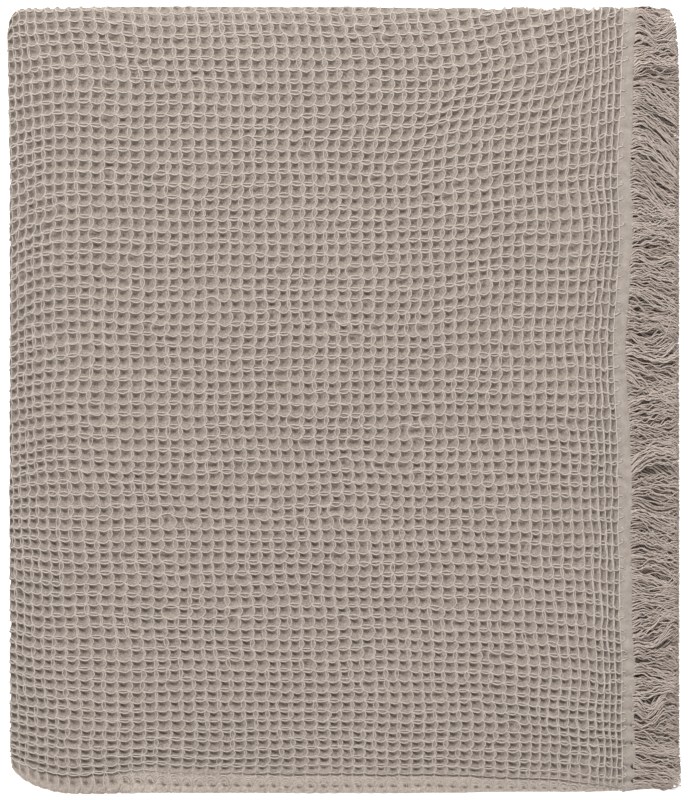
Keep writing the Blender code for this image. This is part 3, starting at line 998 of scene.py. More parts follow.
# %% Rings in the flat cells below the crease
# Half width and height in cells, half of the arc in degrees
RINGS = ((0.24, 0.12, 110), (0.37, 0.24, 100), (0.49, 0.36, 80))
RING_CENTRE = (0.5, 0.62)
RING_CENTRE_SPREAD = (0.04, 0.02)
RING_SIZE_SPREAD = 0.10
RING_POINTS = 13
RING_YARN_RADIUS = 0.00042
RING_LIFT = 0.0005


def flat_rings():
    """Arcs of yarn round the small dark spot of each cell below the crease."""
    yarns = []
    for a in np.nonzero(cell_along < FLAT_END[1])[0]:
        for half_wide, half_high, half_arc in RINGS:
            turn = math.radians(half_arc) * np.linspace(-1, 1, RING_POINTS)
            wide = half_wide * (1 + RING_SIZE_SPREAD * rng.standard_normal())
            high = half_high * (1 + RING_SIZE_SPREAD * rng.standard_normal())
            aside = RING_CENTRE[0] + RING_CENTRE_SPREAD[0] * rng.standard_normal()
            column = a + aside + wide * np.sin(turn)
            row = crease_row + RING_CENTRE[1] - high * np.cos(turn)
            row = row + RING_CENTRE_SPREAD[1] * rng.standard_normal()
            yarns.append(with_up(on_grid, column, row, face_height(column, row) + RING_LIFT))
    return yarns


print(len(RINGS), "rings in each flat cell")

# %% Make them
ridge_yarns = []
for name, yarns, radius in (
    ("row_yarns", row_yarns(), ROW_YARN_RADIUS),
    ("column_yarns", column_yarns(), COLUMN_YARN_RADIUS),
    ("loose_row_yarns", loose_arcs(True), LOOSE_YARN_RADIUS),
    ("loose_column_yarns", loose_arcs(False), LOOSE_YARN_RADIUS),
    ("ringed_yarns", flat_rings(), RING_YARN_RADIUS),
):
    ridge_yarns.append(add_yarns(name, yarns, [radius] * len(yarns), "waffle_cloth", "waffle_cotton"))

# %% [markdown]
# ## The header
# At each end of the cloth the waffle stops in a narrow band of plain weave, which keeps it from
# unravelling. It is flatter and a little paler than the waffle, the row yarns curl over its inner edge
# and small creases cross it. A thin closed strip is enough, bent on the same folds as the cloth.

# %% Sizes of the header
HEADER_FACE = 0.0011
HEADER_LAP = 0.0005
HEADER_END = HEADER_WIDTH + 0.0008
# The band's section: distance out from the cloth, height
HEADER_PROFILE = np.array((
    (-HEADER_LAP, -0.0009),
    (-HEADER_LAP, 0.0009),
    (-HEADER_LAP / 2, 0.0013),
    (0.001, HEADER_FACE),
    (0.5 * HEADER_WIDTH, HEADER_FACE),
    (HEADER_END - 0.001, HEADER_FACE),
    (HEADER_END, 0.0007),
    (HEADER_END, -0.0007),
    (0.5 * HEADER_WIDTH, -HEADER_FACE),
    (0.001, -HEADER_FACE),
))
# y, depth of the small creases across the header
HEADER_CREASES = (
    (0.310, 0.0004), (0.293, 0.0005), (0.262, 0.0003), (0.105, 0.0004), (0.067, 0.0004),
    (0.022, 0.0004), (-0.135, 0.0003), (-0.205, 0.0005), (-0.224, 0.0006), (-0.242, 0.0008),
    (-0.253, 0.0008), (-0.268, 0.0010), (-0.285, 0.0012), (-0.3035, 0.0013), (-0.313, 0.0011),
    (-0.327, 0.0014),
)
CREASE_WIDTH = 0.0022
CREASE_SIZE = 2.1
# How far a crease draws the band's outer edge in, as a share of its depth
NOTCH = 1.6
# Height, wavelength and phase of the waves in the outer edge
EDGE_WAVES = ((0.0005, 0.031, 1), (0.0003, 0.0117, 2))
# The band swells where a ridge of the waffle runs into it
RIDGE_SWELL = 0.0005
SWELL_REACH = 0.003
# Where its edge is free to wave, and its stations in rows: hidden ones, seen ones
FREE_FROM = 0.002
HEADER_STEP = 0.5
SEEN_HEADER_STEP = 0.125
print("the headers are", round(HEADER_WIDTH * 1000, 1), "mm wide")


# %% The two header bands
def crease_at(across):
    """Depth of the header's creases at places across the cloth."""
    y = LAYER_ONE_BACK_Y - (across - LAYER_ONE_START)
    return CREASE_SIZE * sum(depth * bell(y - crease_y, CREASE_WIDTH) for crease_y, depth in HEADER_CREASES)


def header_stations(shown):
    """Places of the band's stations, counted in rows."""
    places = np.arange(0, len(rows) - 0.9, HEADER_STEP)
    if shown:
        first_fine, last_fine = np.flatnonzero(in_layer_one | in_folds & (cell_across > 0.5))[[0, -1]]
        outside = (places < first_fine) | (places > last_fine)
        seen = np.arange(first_fine, last_fine + 0.05, SEEN_HEADER_STEP)
        places = np.sort(np.append(places[outside], seen))
    return places


def header_band(name, start, heading, node):
    """A band of plain weave from a place on the path, heading off the cloth."""
    places = header_stations(start == 0)
    across = across_at(places)
    profile_out, profile_height = HEADER_PROFILE.T
    crease = crease_at(across)
    wobble = sum(high * np.sin(across / wave + phase * start) for high, wave, phase in EDGE_WAVES)
    wobble = wobble - NOTCH * crease
    out = profile_out + wobble[:, None] * (np.abs(profile_out) > FREE_FROM)
    height = profile_height - crease[:, None]
    swell = (0.2 + 0.8 * np.cos(2 * math.pi * places))[:, None] * RIDGE_SWELL
    height = height + swell * np.exp(-np.clip(profile_out, 0, 1) / SWELL_REACH) * (profile_height > 0)
    wide = np.tile(across[:, None], (1, len(profile_out)))
    along = start + heading * out
    on_cloth = np.clip(along, 0, PATH_END)
    bent_along, bent_across = bend_grid(on_cloth, wide)
    bent_along = bent_along + along - on_cloth
    points = on_folds(bent_along.ravel(), bent_across.ravel(), height.ravel())
    number = np.arange(wide.size).reshape(wide.shape)
    beside = np.roll(number, -1, axis=1)
    sides = np.stack((number[:-1], beside[:-1], beside[1:], number[1:]), -1).reshape(-1, 4)
    first = number[0].tolist()
    last = number[-1].tolist()
    if heading > 0:
        faces = sides[:, ::-1].tolist() + [first, last[::-1]]
    else:
        faces = sides.tolist() + [first[::-1], last]
    flat_place = np.column_stack((along.ravel(), wide.ravel()))
    return add_piece(name, points, faces, node, "fringe_cotton", flat_place=flat_place)


headers = [
    header_band("header_end_a", 0.0, -1, "fringe_end_a"),
    header_band("header_end_b", PATH_END, 1, "fringe_end_b"),
]

# %% [markdown]
# ## The fringe
# Past the header the cross yarns are drawn out, and the lengthwise ones hang free. They keep the crimp
# of the weave, cling together in tufts, and each tuft falls its own way. A table of tufts gives the top
# layer the lie that can be seen, and random numbers give the hidden layers theirs. Each yarn also
# strays a little from its tuft, and its tip curls.

# %% The tufts of the top layer
# y of the upper edge of the root; how far the tuft strays towards the back edge, in mm, at each quarter
# of its length; how high it lies, and how long it is, from 0 to 1
TUFTS = (
    (0.336, (-1.0, -0.5, -1.5, -3.5), 0.4, 1.0),
    (0.328, (2.6, -2.6, -0.9, 1.7), 0.6, 1.0),
    (0.318, (1.7, -3.0, 0.0, 5.0), 0.7, 1.0),
    (0.309, (1.7, -1.7, 0.9, 5.0), 0.5, 1.0),
    (0.302, (1.7, 2.6, 6.0, 7.7), 0.3, 1.0),
    (0.294, (5.0, 7.7, 10.0, 4.3), 0.8, 1.0),
    (0.287, (6.0, 6.8, 5.0, 5.0), 0.9, 1.0),
    (0.280, (6.8, 9.4, 10.0, 11.0), 1.0, 1.0),
    (0.272, (0.0, -4.3, -12.0, -17.0), 0.6, 1.0),
    (0.264, (1.7, -2.6, -9.4, -15.0), 0.7, 1.0),
    (0.255, (1.7, -4.3, -8.5, -13.0), 0.5, 1.0),
    (0.247, (-2.6, -8.5, -17.0, -22.0), 0.9, 1.0),
    (0.241, (2.6, -1.7, -10.0, -21.0), 0.5, 1.0),
    (0.230, (1.7, -4.3, -12.0, -23.0), 0.7, 1.0),
    (0.215, (0.9, -3.4, -12.0, -21.0), 0.8, 1.0),
    (0.207, (0.9, -5.0, -9.4, -17.0), 0.4, 1.0),
    (0.197, (0.9, -6.8, -15.0, -20.0), 0.4, 1.0),
    (0.187, (0.9, -5.0, -15.0, -21.0), 0.7, 0.9),
    (0.175, (1.7, -1.7, -8.5, -14.0), 0.6, 1.0),
    (0.168, (0.9, -2.6, -5.0, -7.0), 0.5, 1.0),
    (0.162, (2.6, 1.7, 2.6, 5.0), 0.8, 1.0),
    (0.148, (4.3, 1.7, 6.8, 6.8), 0.8, 1.0),
    (0.141, (4.3, 6.0, 3.4, 0.0), 0.8, 1.0),
    (0.128, (1.7, 0.9, 1.7, 1.7), 0.4, 1.0),
    (0.122, (3.4, -1.7, 0.9, -2.6), 0.6, 1.0),
    (0.116, (2.6, -0.9, -3.4, -5.0), 0.5, 1.0),
    (0.107, (1.7, 0.9, -0.9, -2.6), 0.7, 1.0),
    (0.100, (0.0, -3.4, -8.5, -14.0), 0.7, 1.0),
    (0.092, (0.0, -6.8, -10.0, -13.0), 0.5, 1.0),
    (0.083, (-3.4, -6.0, -6.8, -10.0), 0.4, 1.0),
    (0.073, (-0.9, -0.9, -2.6, -7.7), 0.5, 1.0),
    (0.060, (-1.7, -3.4, 0.9, -2.6), 0.7, 0.9),
    (0.052, (-3.4, -7.7, -7.7, 1.7), 0.8, 0.9),
    (0.043, (-0.9, -5.0, -5.0, 2.6), 0.9, 1.0),
    (0.035, (-3.4, -7.7, -11.0, -17.0), 0.5, 1.0),
    (0.027, (-7.0, -14.0, -20.0, -26.0), 0.7, 1.0),
    (0.018, (-1.7, 0.9, 1.7, 1.7), 0.2, 1.0),
    (0.003, (3.4, 6.8, 10.0, 10.0), 0.7, 1.0),
    (-0.009, (4.3, 6.0, 6.8, 5.0), 0.7, 1.0),
    (-0.016, (2.6, 3.4, 6.8, 7.7), 0.6, 1.0),
    (-0.024, (2.6, 0.9, 0.0, -0.9), 0.4, 1.0),
    (-0.034, (0.0, 0.0, 0.0, 0.0), 0.4, 1.0),
    (-0.043, (0.0, 0.0, 0.9, 0.9), 0.5, 1.0),
    (-0.050, (7.7, 14.0, 15.0, 14.5), 0.9, 1.0),
    (-0.067, (1.7, 0.0, -1.7, -3.4), 0.4, 1.0),
    (-0.076, (1.7, 0.9, -0.9, -1.7), 0.6, 1.0),
    (-0.083, (2.6, -1.7, -2.6, -2.6), 0.4, 1.0),
    (-0.093, (0.0, -2.6, -5.0, -12.0), 0.8, 1.0),
    (-0.100, (3.4, -1.7, -6.8, -8.5), 0.6, 1.0),
    (-0.110, (-0.9, -3.4, -6.8, -7.7), 0.5, 1.0),
    (-0.119, (1.7, 0.0, -1.7, -2.6), 0.6, 1.0),
    (-0.128, (1.7, 0.0, -1.7, -5.0), 0.5, 1.0),
    (-0.137, (-0.9, 0.0, -4.3, -7.7), 0.8, 1.0),
    (-0.146, (-2.6, -6.0, -10.0, -10.0), 0.7, 0.9),
    (-0.154, (-2.6, -4.3, -2.6, -2.6), 0.4, 1.0),
    (-0.165, (0.9, -0.9, -0.9, -0.9), 0.5, 1.0),
    (-0.174, (2.6, 0.9, -1.7, -2.6), 0.6, 1.0),
    (-0.186, (3.4, 5.0, 7.7, 7.7), 0.5, 1.0),
    (-0.197, (3.4, 9.4, 16.0, 17.0), 0.8, 0.9),
    (-0.206, (1.7, 2.6, 9.4, 17.0), 0.6, 0.9),
    (-0.213, (0.0, 0.0, 1.7, -4.3), 0.5, 1.0),
    (-0.221, (-3.4, -2.6, -4.3, -5.0), 0.4, 1.0),
    (-0.228, (1.7, -2.6, -5.0, -9.4), 0.9, 1.0),
    (-0.236, (-0.9, -1.7, -4.3, -2.6), 0.6, 1.0),
    (-0.244, (0.0, 0.0, 0.9, 3.4), 0.6, 1.0),
    (-0.249, (-0.9, 1.7, 5.0, 6.0), 0.9, 0.95),
    (-0.254, (-1.7, -6.0, -1.7, 4.3), 0.8, 0.75),
    (-0.258, (0.0, -3.4, 2.6, 10.0), 0.9, 0.75),
    (-0.264, (0.0, -4.3, 0.9, 7.7), 0.9, 0.70),
    (-0.271, (-4.3, -4.3, 1.7, 8.5), 0.8, 0.75),
    (-0.276, (0.9, -0.9, -1.7, -3.4), 0.4, 1.0),
    (-0.281, (-1.7, -8.5, -14.0, -15.0), 0.6, 0.9),
    (-0.287, (-3.4, -5.0, -4.3, -10.0), 0.5, 1.0),
    (-0.295, (-0.9, -3.4, -4.3, -5.0), 0.7, 1.0),
    (-0.302, (-5.0, -6.8, -10.0, -15.0), 0.8, 1.0),
    (-0.312, (-2.6, -3.4, -5.0, -7.7), 0.6, 1.0),
    (-0.318, (-0.9, -3.4, -5.5, -6.5), 0.5, 1.0),
    (-0.325, (0.0, -0.9, -2.0, 0.5), 0.5, 0.95),
)
print(len(TUFTS), "tufts on the top layer")

# %% Sizes of the fringe
FRINGE_LENGTH = 0.0443
TOP_POINTS = 25
HIDDEN_POINTS = 9
FRINGE_YARN_RADIUS = 0.00052
HIDDEN_YARN_RADIUS = 0.00086
TOP_YARN_SPACING = 0.00076
HIDDEN_YARN_SPACING = 0.0011
# y, how much shorter the fringe is near the two long edges
TIP_SHORT = (
    (-0.334, 0.0085), (-0.327, 0.0030), (-0.318, -0.0018), (-0.306, -0.0014),
    (-0.298, 0.0), (0.275, 0.0), (0.290, 0.0010), (0.304, 0.0018),
    (0.316, 0.0026), (0.322, 0.0045), (0.329, 0.0060), (0.334, 0.0110),
)
tip_short = smooth_table(TIP_SHORT, reach=0.002)
# Hidden tufts: their width, the lean of their tips and how it grows along them
HIDDEN_TUFT = 0.013
TIP_LEAN = -0.003
TIP_LEAN_SPREAD = 0.010
LEAN_SHARES = np.array((0.15, 0.42, 0.72, 1.0))
LEAN_SPREAD = 0.0028
HIDDEN_HEIGHTS = (0.2, 0.6)
# Room between the seen tufts and the hidden ones, and past the end of layer one
HIDDEN_TUFT_GAP = 0.006
LAYER_ONE_MARGIN = 0.01
fringe_rng = np.random.default_rng(7)
print(f"the fringe is {FRINGE_LENGTH * 1000:.0f} mm long")


# %% The tufts of a whole end
def tufts_of_end(shown):
    """Rows of start across the cloth, four shifts, height and length for the tufts of a whole end."""
    rows_of_tufts = []
    across = 0.0
    while across < SECTION_END:
        tip_shift = fringe_rng.normal(TIP_LEAN, TIP_LEAN_SPREAD)
        shifts = tip_shift * LEAN_SHARES + fringe_rng.normal(0, LEAN_SPREAD, 4)
        rows_of_tufts.append((across, *shifts, fringe_rng.uniform(*HIDDEN_HEIGHTS), 1.0))
        across += HIDDEN_TUFT * (0.6 + 0.8 * fringe_rng.random())
    table = np.array(rows_of_tufts)
    if shown:
        top = np.array([(y, *shifts, height, length) for y, shifts, height, length in TUFTS])
        # On the top layer a shift towards +y is one back along the section
        top[:, 0] = LAYER_ONE_START + LAYER_ONE_BACK_Y - top[:, 0]
        top[:, 1:5] *= -0.001
        before = table[table[:, 0] < top[0, 0] - HIDDEN_TUFT_GAP]
        after = table[table[:, 0] > front_fold[0] + FOLD_MARGIN]
        table = np.vstack((before, top, after))
    return table


def on_layer_one(place):
    return LAYER_ONE_START - LAYER_ONE_MARGIN < place < front_fold[1]


def roots_of_end(shown):
    """Places across the cloth where its yarns leave the header."""
    roots = [0.001]
    while roots[-1] < SECTION_END - 0.002:
        spacing = TOP_YARN_SPACING if shown and on_layer_one(roots[-1]) else HIDDEN_YARN_SPACING
        roots.append(roots[-1] + spacing * (0.5 + fringe_rng.random()))
    return roots


print(f"hidden tufts are about {HIDDEN_TUFT * 1000:.0f} mm wide")

# %% How a yarn strays
# Places along a yarn are counted from 0 at its root to 1 at its tip
# Share of its own tuft's lie that a yarn takes, the rest being its neighbours'
OWN_TUFT_SHARE = 0.80
LEAN_EVENNESS = 0.08
OWN_SPREAD = 0.0030
HIDDEN_SPREAD = 0.0050
OWN_BENDS = (0.0018, 0.0012)
TIP_CURL = 0.0022
CURL_START = 0.7
# A few yarns lie apart from their tufts
STRAY_SHARE = 0.14
STRAY_SPREAD = 0.006
STRAY_SHORT = 0.012
# Yarns leave the header in small bundles, and a tuft narrows towards its tip
ROOT_BUNDLE = 0.0031
ROOT_SQUEEZE = 0.55
SQUEEZE_PLACE = 0.10
TUFT_NARROWING = 0.15
# Near the long edges hidden yarns stray less, seen ones keep their length, and all of them lie flatter
EDGE_REACH = 0.05
FLATTER_REACH = 0.02
LEAST_HELD = 0.15
LENGTH_SPREAD = 0.0006
TIP_LOSS = 0.0011
print(f"{STRAY_SHARE:.0%} of the yarns lie apart from their tufts")


def own_way(q, curve, seen, stray):
    """How far aside a yarn lies along its length, before its bundle and its crimp."""
    aside = np.polyval(curve, q) * fringe_rng.normal(1, LEAN_EVENNESS)
    aside = aside + fringe_rng.normal(0, OWN_SPREAD if seen else HIDDEN_SPREAD) * q
    for half_waves, bend in enumerate(OWN_BENDS, 1):
        aside = aside + fringe_rng.normal(0, bend) * np.sin(math.pi * half_waves * q)
    curl = np.clip((q - CURL_START) / (1 - CURL_START), 0, 1) ** 2
    aside = aside + fringe_rng.normal(0, TIP_CURL) * curl
    return aside + stray * fringe_rng.normal(0, STRAY_SPREAD) * q**1.5


def own_length(reach, root_y, seen, held, stray):
    """The length of a yarn past the header."""
    length = FRINGE_LENGTH * reach - tip_short(root_y) - abs(fringe_rng.normal(0, LENGTH_SPREAD))
    length = length - seen * held**4 * fringe_rng.exponential(TIP_LOSS)
    return length - stray * fringe_rng.uniform(0, STRAY_SHORT)


def held_near_edge(root_y, reach):
    """1 in the middle of the fringe, and less within a reach of its long edges."""
    return np.clip((HALF_LENGTH - abs(root_y)) / reach, LEAST_HELD, 1)


# %% Where each yarn runs
# Length and height of the crimp's waves, and how much they differ in a tuft
CRIMP_LENGTHS = (0.008, 0.013)
CRIMP_HEIGHTS = (0.0003, 0.0010)
CRIMP_STRETCH = (0.75, 1.3)
CRIMP_STRENGTH = (0.7, 1.3)
CRIMP_PHASE_SPREAD = 0.6
CRIMP_LIFT = 0.6
FUZZ = 0.00010
ROOT_LAP = 0.0012
SIDE_MARGIN = 0.0008
# Heights over the header's middle: of a yarn in its tuft, of the tuft, its dome and its strays
ROOT_LEVEL = 0.0004
LEVEL = 0.0012
TUFT_LIFT = 0.0042
MIDDLE_LIFT = 0.4
DOME = 0.0012
STRAY_LIFT = 0.002
# Tone of a seen yarn: the least, and what lift, level, dome and chance add. Lift, level and dome paint
# shade, so that a yarn that lies lower is darker, and chance is the yarn's own tone. Then that of a hidden
# one
TONE_AND_HEIGHT_SHADE = (0.14, 0.32, 0.12, 0.12, 0.22)
HIDDEN_TONES = (0.34, 0.34)


def fringe_yarns(start, heading, shown):
    """Lines, radii and tones of the yarns of one end, heading off the cloth."""
    table = tufts_of_end(shown)
    roots = roots_of_end(shown)
    tuft_starts = table[:, 0]
    tuft_ends = np.append(tuft_starts[1:], SECTION_END)
    tuft_middles = (tuft_starts + tuft_ends) / 2
    wave_lengths = fringe_rng.uniform(*CRIMP_LENGTHS, len(table))
    wave_heights = fringe_rng.uniform(*CRIMP_HEIGHTS, len(table))
    wave_starts = fringe_rng.uniform(0, 2 * math.pi, len(table))
    yarns = []
    radii = []
    tones = []
    for root in roots:
        tuft = max(np.searchsorted(tuft_starts, root, side="right") - 1, 0)
        seen = shown and on_layer_one(root)
        q = np.linspace(0, 1, TOP_POINTS if seen else HIDDEN_POINTS)
        between = np.array([np.interp(root, tuft_middles, table[:, n]) for n in range(1, 7)])
        *shifts, lift, reach = OWN_TUFT_SHARE * table[tuft, 1:7] + (1 - OWN_TUFT_SHARE) * between
        curve = np.polyfit(np.linspace(0, 1, 5), [0.0, *shifts], 4)
        from_middle = (root - tuft_middles[tuft]) / (tuft_ends[tuft] - tuft_starts[tuft])
        level = fringe_rng.uniform(-1, 1)
        stray = fringe_rng.random() < STRAY_SHARE

        aside = own_way(q, curve, seen, stray)
        in_bundle = root % ROOT_BUNDLE - ROOT_BUNDLE / 2
        aside = aside - ROOT_SQUEEZE * in_bundle * bell(q - SQUEEZE_PLACE, SQUEEZE_PLACE)
        aside = aside - TUFT_NARROWING * (root - tuft_middles[tuft]) * q
        root_y = np.interp(root, SECTION[:, 0], SECTION[:, 1])
        held = held_near_edge(root_y, EDGE_REACH)
        if not seen:
            aside = aside * held
        length = own_length(reach, root_y, seen, held, stray)
        wave_length = wave_lengths[tuft] * fringe_rng.uniform(*CRIMP_STRETCH)
        wave = 2 * math.pi * q * length / wave_length + wave_starts[tuft]
        wave = wave + fringe_rng.normal(0, CRIMP_PHASE_SPREAD)
        crimp = wave_heights[tuft] * np.clip(5 * q, 0, 1) * fringe_rng.uniform(*CRIMP_STRENGTH)
        aside = aside + crimp * np.sin(wave) + FUZZ * fringe_rng.standard_normal(len(q))

        out = HEADER_WIDTH - ROOT_LAP + (length + ROOT_LAP) * q
        body = np.sin(math.pi * np.clip(q, 0, 0.85)) * held_near_edge(root_y, FLATTER_REACH)
        dome = 1 - 3 * from_middle**2
        lifted = LEVEL * level + TUFT_LIFT * (lift - MIDDLE_LIFT) + DOME * dome + STRAY_LIFT * stray
        height = ROOT_LEVEL * level + body * lifted + CRIMP_LIFT * crimp * np.cos(wave)
        along = start + heading * out
        across = np.clip(root + aside, SIDE_MARGIN, SECTION_END - SIDE_MARGIN)
        line = on_folds(along, across, height)
        line[:, 2] = np.maximum(line[:, 2], FRINGE_YARN_RADIUS)
        up = on_folds(along, across, height + UP_STEP) - line + np.array((0, 0, 1e-6))
        yarns.append((line, up))

        thick = FRINGE_YARN_RADIUS if seen else HIDDEN_YARN_RADIUS
        radii.append(thick * fringe_rng.uniform(0.85, 1.15) * np.where(q > 0.95, 0.7, 1))
        # A seen yarn is painted darker the lower it lies, by lift, level and dome: painted shade. Chance is
        # its own tone.
        least, by_lift, by_level, by_dome, by_chance = TONE_AND_HEIGHT_SHADE
        tone = least + by_lift * lift + by_level * level + by_dome * dome + by_chance * fringe_rng.random()
        if seen:
            tones.append(min(max(tone, 0), 1))
        else:
            tones.append(HIDDEN_TONES[0] + HIDDEN_TONES[1] * fringe_rng.random())
    return yarns, radii, tones


print("a seen yarn has", TOP_POINTS, "points, a hidden one", HIDDEN_POINTS)

# %% Make the two fringes
fringes = []
for end, start, heading, shown in (("a", 0.0, -1, True), ("b", PATH_END, 1, False)):
    yarns, radii, tones = fringe_yarns(start, heading, shown)
    name = f"fringe_yarns_{end}"
    fringes.append(add_yarns(name, yarns, radii, f"fringe_end_{end}", "fringe_cotton", tones))
    print(len(yarns), "yarns at end", end)

# %% [markdown]
# ## The cotton
# All of it is cotton yarn, dyed a warm greige and washed soft. Cotton has no gloss of its own: its loose
# fibres scatter the light, which gives a matt face with a faint sheen at grazing angles. So the
# roughness is near 1, the IOR stays at the 1.5 of cellulose, and the fibres are noise in colour and bump.

# %% Colours and a helper that adds a node
def hex_colour(code):
    """A linear colour from an sRGB hex code."""
    values = [int(code[n:n + 2], 16) / 255 for n in (1, 3, 5)]
    linear = [v / 12.92 if v <= 0.04045 else ((v + 0.055) / 1.055) ** 2.4 for v in values]
    return (*linear, 1.0)


def add_node(tree, kind, inputs=(), **settings):
    """Adds a node with its settings and its inputs, in order or by name. A node gives its first output."""
    node = tree.nodes.new("ShaderNode" + kind)
    for setting, value in settings.items():
        setattr(node, setting, value)
    for socket, value in inputs.items() if isinstance(inputs, dict) else enumerate(inputs):
        if isinstance(value, bpy.types.Node):
            value = value.outputs[0]
        if isinstance(value, bpy.types.NodeSocket):
            tree.links.new(value, node.inputs[socket])
        else:
            node.inputs[socket].default_value = value
    return node


print("a mid tone of the cotton:", [round(v, 3) for v in hex_colour("#a99d93")])

# %% What all the cottons share
FIBRE_SIZE = 0.0011


def cotton(name):
    """A new cotton material: its node tree, a spot's place on the object and the noise of its fibres."""
    material = bpy.data.materials.new(name)
    material.use_nodes = True
    tree = material.node_tree
    shader = tree.nodes["Principled BSDF"]
    shader.inputs["Roughness"].default_value = 0.95
    shader.inputs["IOR"].default_value = 1.5
    shader.inputs["Specular IOR Level"].default_value = 0.2
    shader.inputs["Sheen Weight"].default_value = 0.12
    shader.inputs["Sheen Roughness"].default_value = 0.6
    place = add_node(tree, "TexCoord").outputs["Object"]
    fibres = add_node(
        tree, "TexNoise", {"Vector": place, "Scale": 1 / FIBRE_SIZE, "Detail": 3.0, "Roughness": 0.65}
    )
    return material, tree, place, fibres


def crossed_threads(tree, place, angle):
    """Threads that cross in a plain weave: two sines, which turn by an angle for each unit of place."""
    threads = add_node(tree, "VectorMath", (place, (angle,) * 3), operation="MULTIPLY")
    waves = add_node(tree, "VectorMath", (threads,), operation="SINE")
    apart = add_node(tree, "SeparateXYZ", (waves,))
    return add_node(tree, "Math", (apart.outputs[0], apart.outputs[1]), operation="MULTIPLY")


def put_on(tree, colour, bump_height, strength, distance):
    """Gives a cotton its colour and its bump."""
    shader = tree.nodes["Principled BSDF"]
    bump = add_node(tree, "Bump", {"Strength": strength, "Distance": distance, "Height": bump_height})
    tree.links.new(colour, shader.inputs["Base Color"])
    tree.links.new(bump.outputs["Normal"], shader.inputs["Normal"])


print(f"fibres show as noise of {FIBRE_SIZE * 1000:.1f} mm")

# %% [markdown]
# The waffle cloth's colour is palest on its ridges and darkest in its hollows. That is partly the loose
# weave of the hollows, where little light gets in and out, and partly painted light and shade: lit ridge
# tops and shaded hollows painted into the colour, on top of the shading that the relief itself gets. The
# dark hollow is drawn from the place in the grid, with a ragged edge of fibres about 1 mm long. Near the
# front edge it lies behind the middle of its cell, as painted shadow at the foot of the ridge that keeps
# the light off, and towards the back edge it moves to the middle. The yarns of the cloth are 0.8 mm
# apart, so a cell holds about twelve each way.

# %% Sizes of the waffle weave's pattern
THREADS_A_CELL = 12
# Colours of the ridge, the wall and the hollow: the step from pale to dark is partly painted light and shade
RIDGE_COLOUR = "#a89c92"
WALL_COLOUR = "#9d9187"
HOLLOW_WEAVE_AND_SHADE_COLOUR = "#706054"
# Columns over which the narrow cells near the header give way to open ones
NARROW_COLUMNS = (2.0, 6.0)
# Centre and stretch of the dark hollow, partly painted shade, in open cells, in narrow ones and in flat ones
HOLLOW_CENTRES = ((0.70, 0.34, 0.0), (0.68, 0.46, 0.0), (*RING_CENTRE, 0.0))
HOLLOW_STRETCHES = ((0.82, 1.2, 0.0), (2.0, 0.68, 0.0), (1.3, 4.4, 0.0))
# Rows between which the centre moves forward, and how far it has moved at them
CENTRE_ROWS = (crease_row - 64.0, crease_row - 7.0)
CENTRE_MOVES = (0.16, 0.0)
# Distances from the centre at which the hollow ends and the ridge is reached, with the fibres' share
HOLLOW_EDGE = (0.30, 0.57)
RIDGE_EDGE = (0.60, 0.85)
RAGGED_SHARE = 0.55
FLAT_SPOT_GROWTH = -0.10
# Columns between which the cloth turns down on the left, and how much of its hollows' painted darkness stays
STEEP_COLUMNS = [float(column) for column in np.interp((0.45, 0.51), columns, np.arange(len(columns)))]
STEEP_DARKNESS = 0.7
RING_STEP = 0.15
LOOSE_YARN_SIZE = 0.0019
BLOTCH_SIZE = 0.09
print("one thread in the weave is", round(ROW_PITCH * 1000 / THREADS_A_CELL, 2), "mm wide")

# %% Where a spot lies in its cell
waffle_cotton, tree, place, fibres = cotton("waffle_weave_cotton")
grid = add_node(tree, "Attribute", attribute_name="grid_place").outputs["Vector"]
flat_cells = add_node(tree, "Attribute", attribute_name="flatness").outputs["Fac"]
in_crease = add_node(tree, "Attribute", attribute_name="in_crease").outputs["Fac"]
in_cell = add_node(tree, "VectorMath", (grid,), operation="FRACTION")
counted = add_node(tree, "SeparateXYZ", (grid,))
narrow = add_node(tree, "MapRange", (counted.outputs[0], *NARROW_COLUMNS, 1.0, 0.0))


def by_kind_of_cell(open_value, narrow_value, flat_value):
    """A vector that differs between open cells, those near the header and the flat ones."""
    mixed = open_value
    for share, value in ((narrow, narrow_value), (flat_cells, flat_value)):
        mixed = add_node(tree, "Mix", {"Factor": share, 4: mixed, 5: value}, data_type="VECTOR").outputs[1]
    return mixed


moved = add_node(tree, "MapRange", (counted.outputs[1], *CENTRE_ROWS, *CENTRE_MOVES))
forward = add_node(tree, "CombineXYZ", {"Y": moved})
centre = add_node(tree, "VectorMath", (by_kind_of_cell(*HOLLOW_CENTRES), forward), operation="ADD")
from_hollow = add_node(tree, "VectorMath", (in_cell, centre), operation="SUBTRACT")
stretched = add_node(
    tree, "VectorMath", (from_hollow, by_kind_of_cell(*HOLLOW_STRETCHES)), operation="MULTIPLY"
)
distance = add_node(tree, "VectorMath", (stretched,), operation="LENGTH").outputs["Value"]
ragged = add_node(tree, "Math", (fibres, RAGGED_SHARE, distance), operation="MULTIPLY_ADD")
print(len(tree.nodes), "nodes find a spot's place in its cell")

# %% Ridge, wall and hollow
grown = add_node(tree, "Math", (flat_cells, FLAT_SPOT_GROWTH, ragged), operation="MULTIPLY_ADD")
# How far a spot takes the hollow's dark colour: partly painted shade, partly the loose weave
hollow = add_node(tree, "MapRange", (grown, *HOLLOW_EDGE, 1.0, 0.0), interpolation_type="SMOOTHSTEP")
steep = add_node(tree, "MapRange", (counted.outputs[0], *STEEP_COLUMNS, 1.0, STEEP_DARKNESS))
depth = add_node(tree, "Math", (hollow, steep), operation="MULTIPLY")
ridge_top = add_node(tree, "MapRange", (ragged, *RIDGE_EDGE), interpolation_type="SMOOTHSTEP")
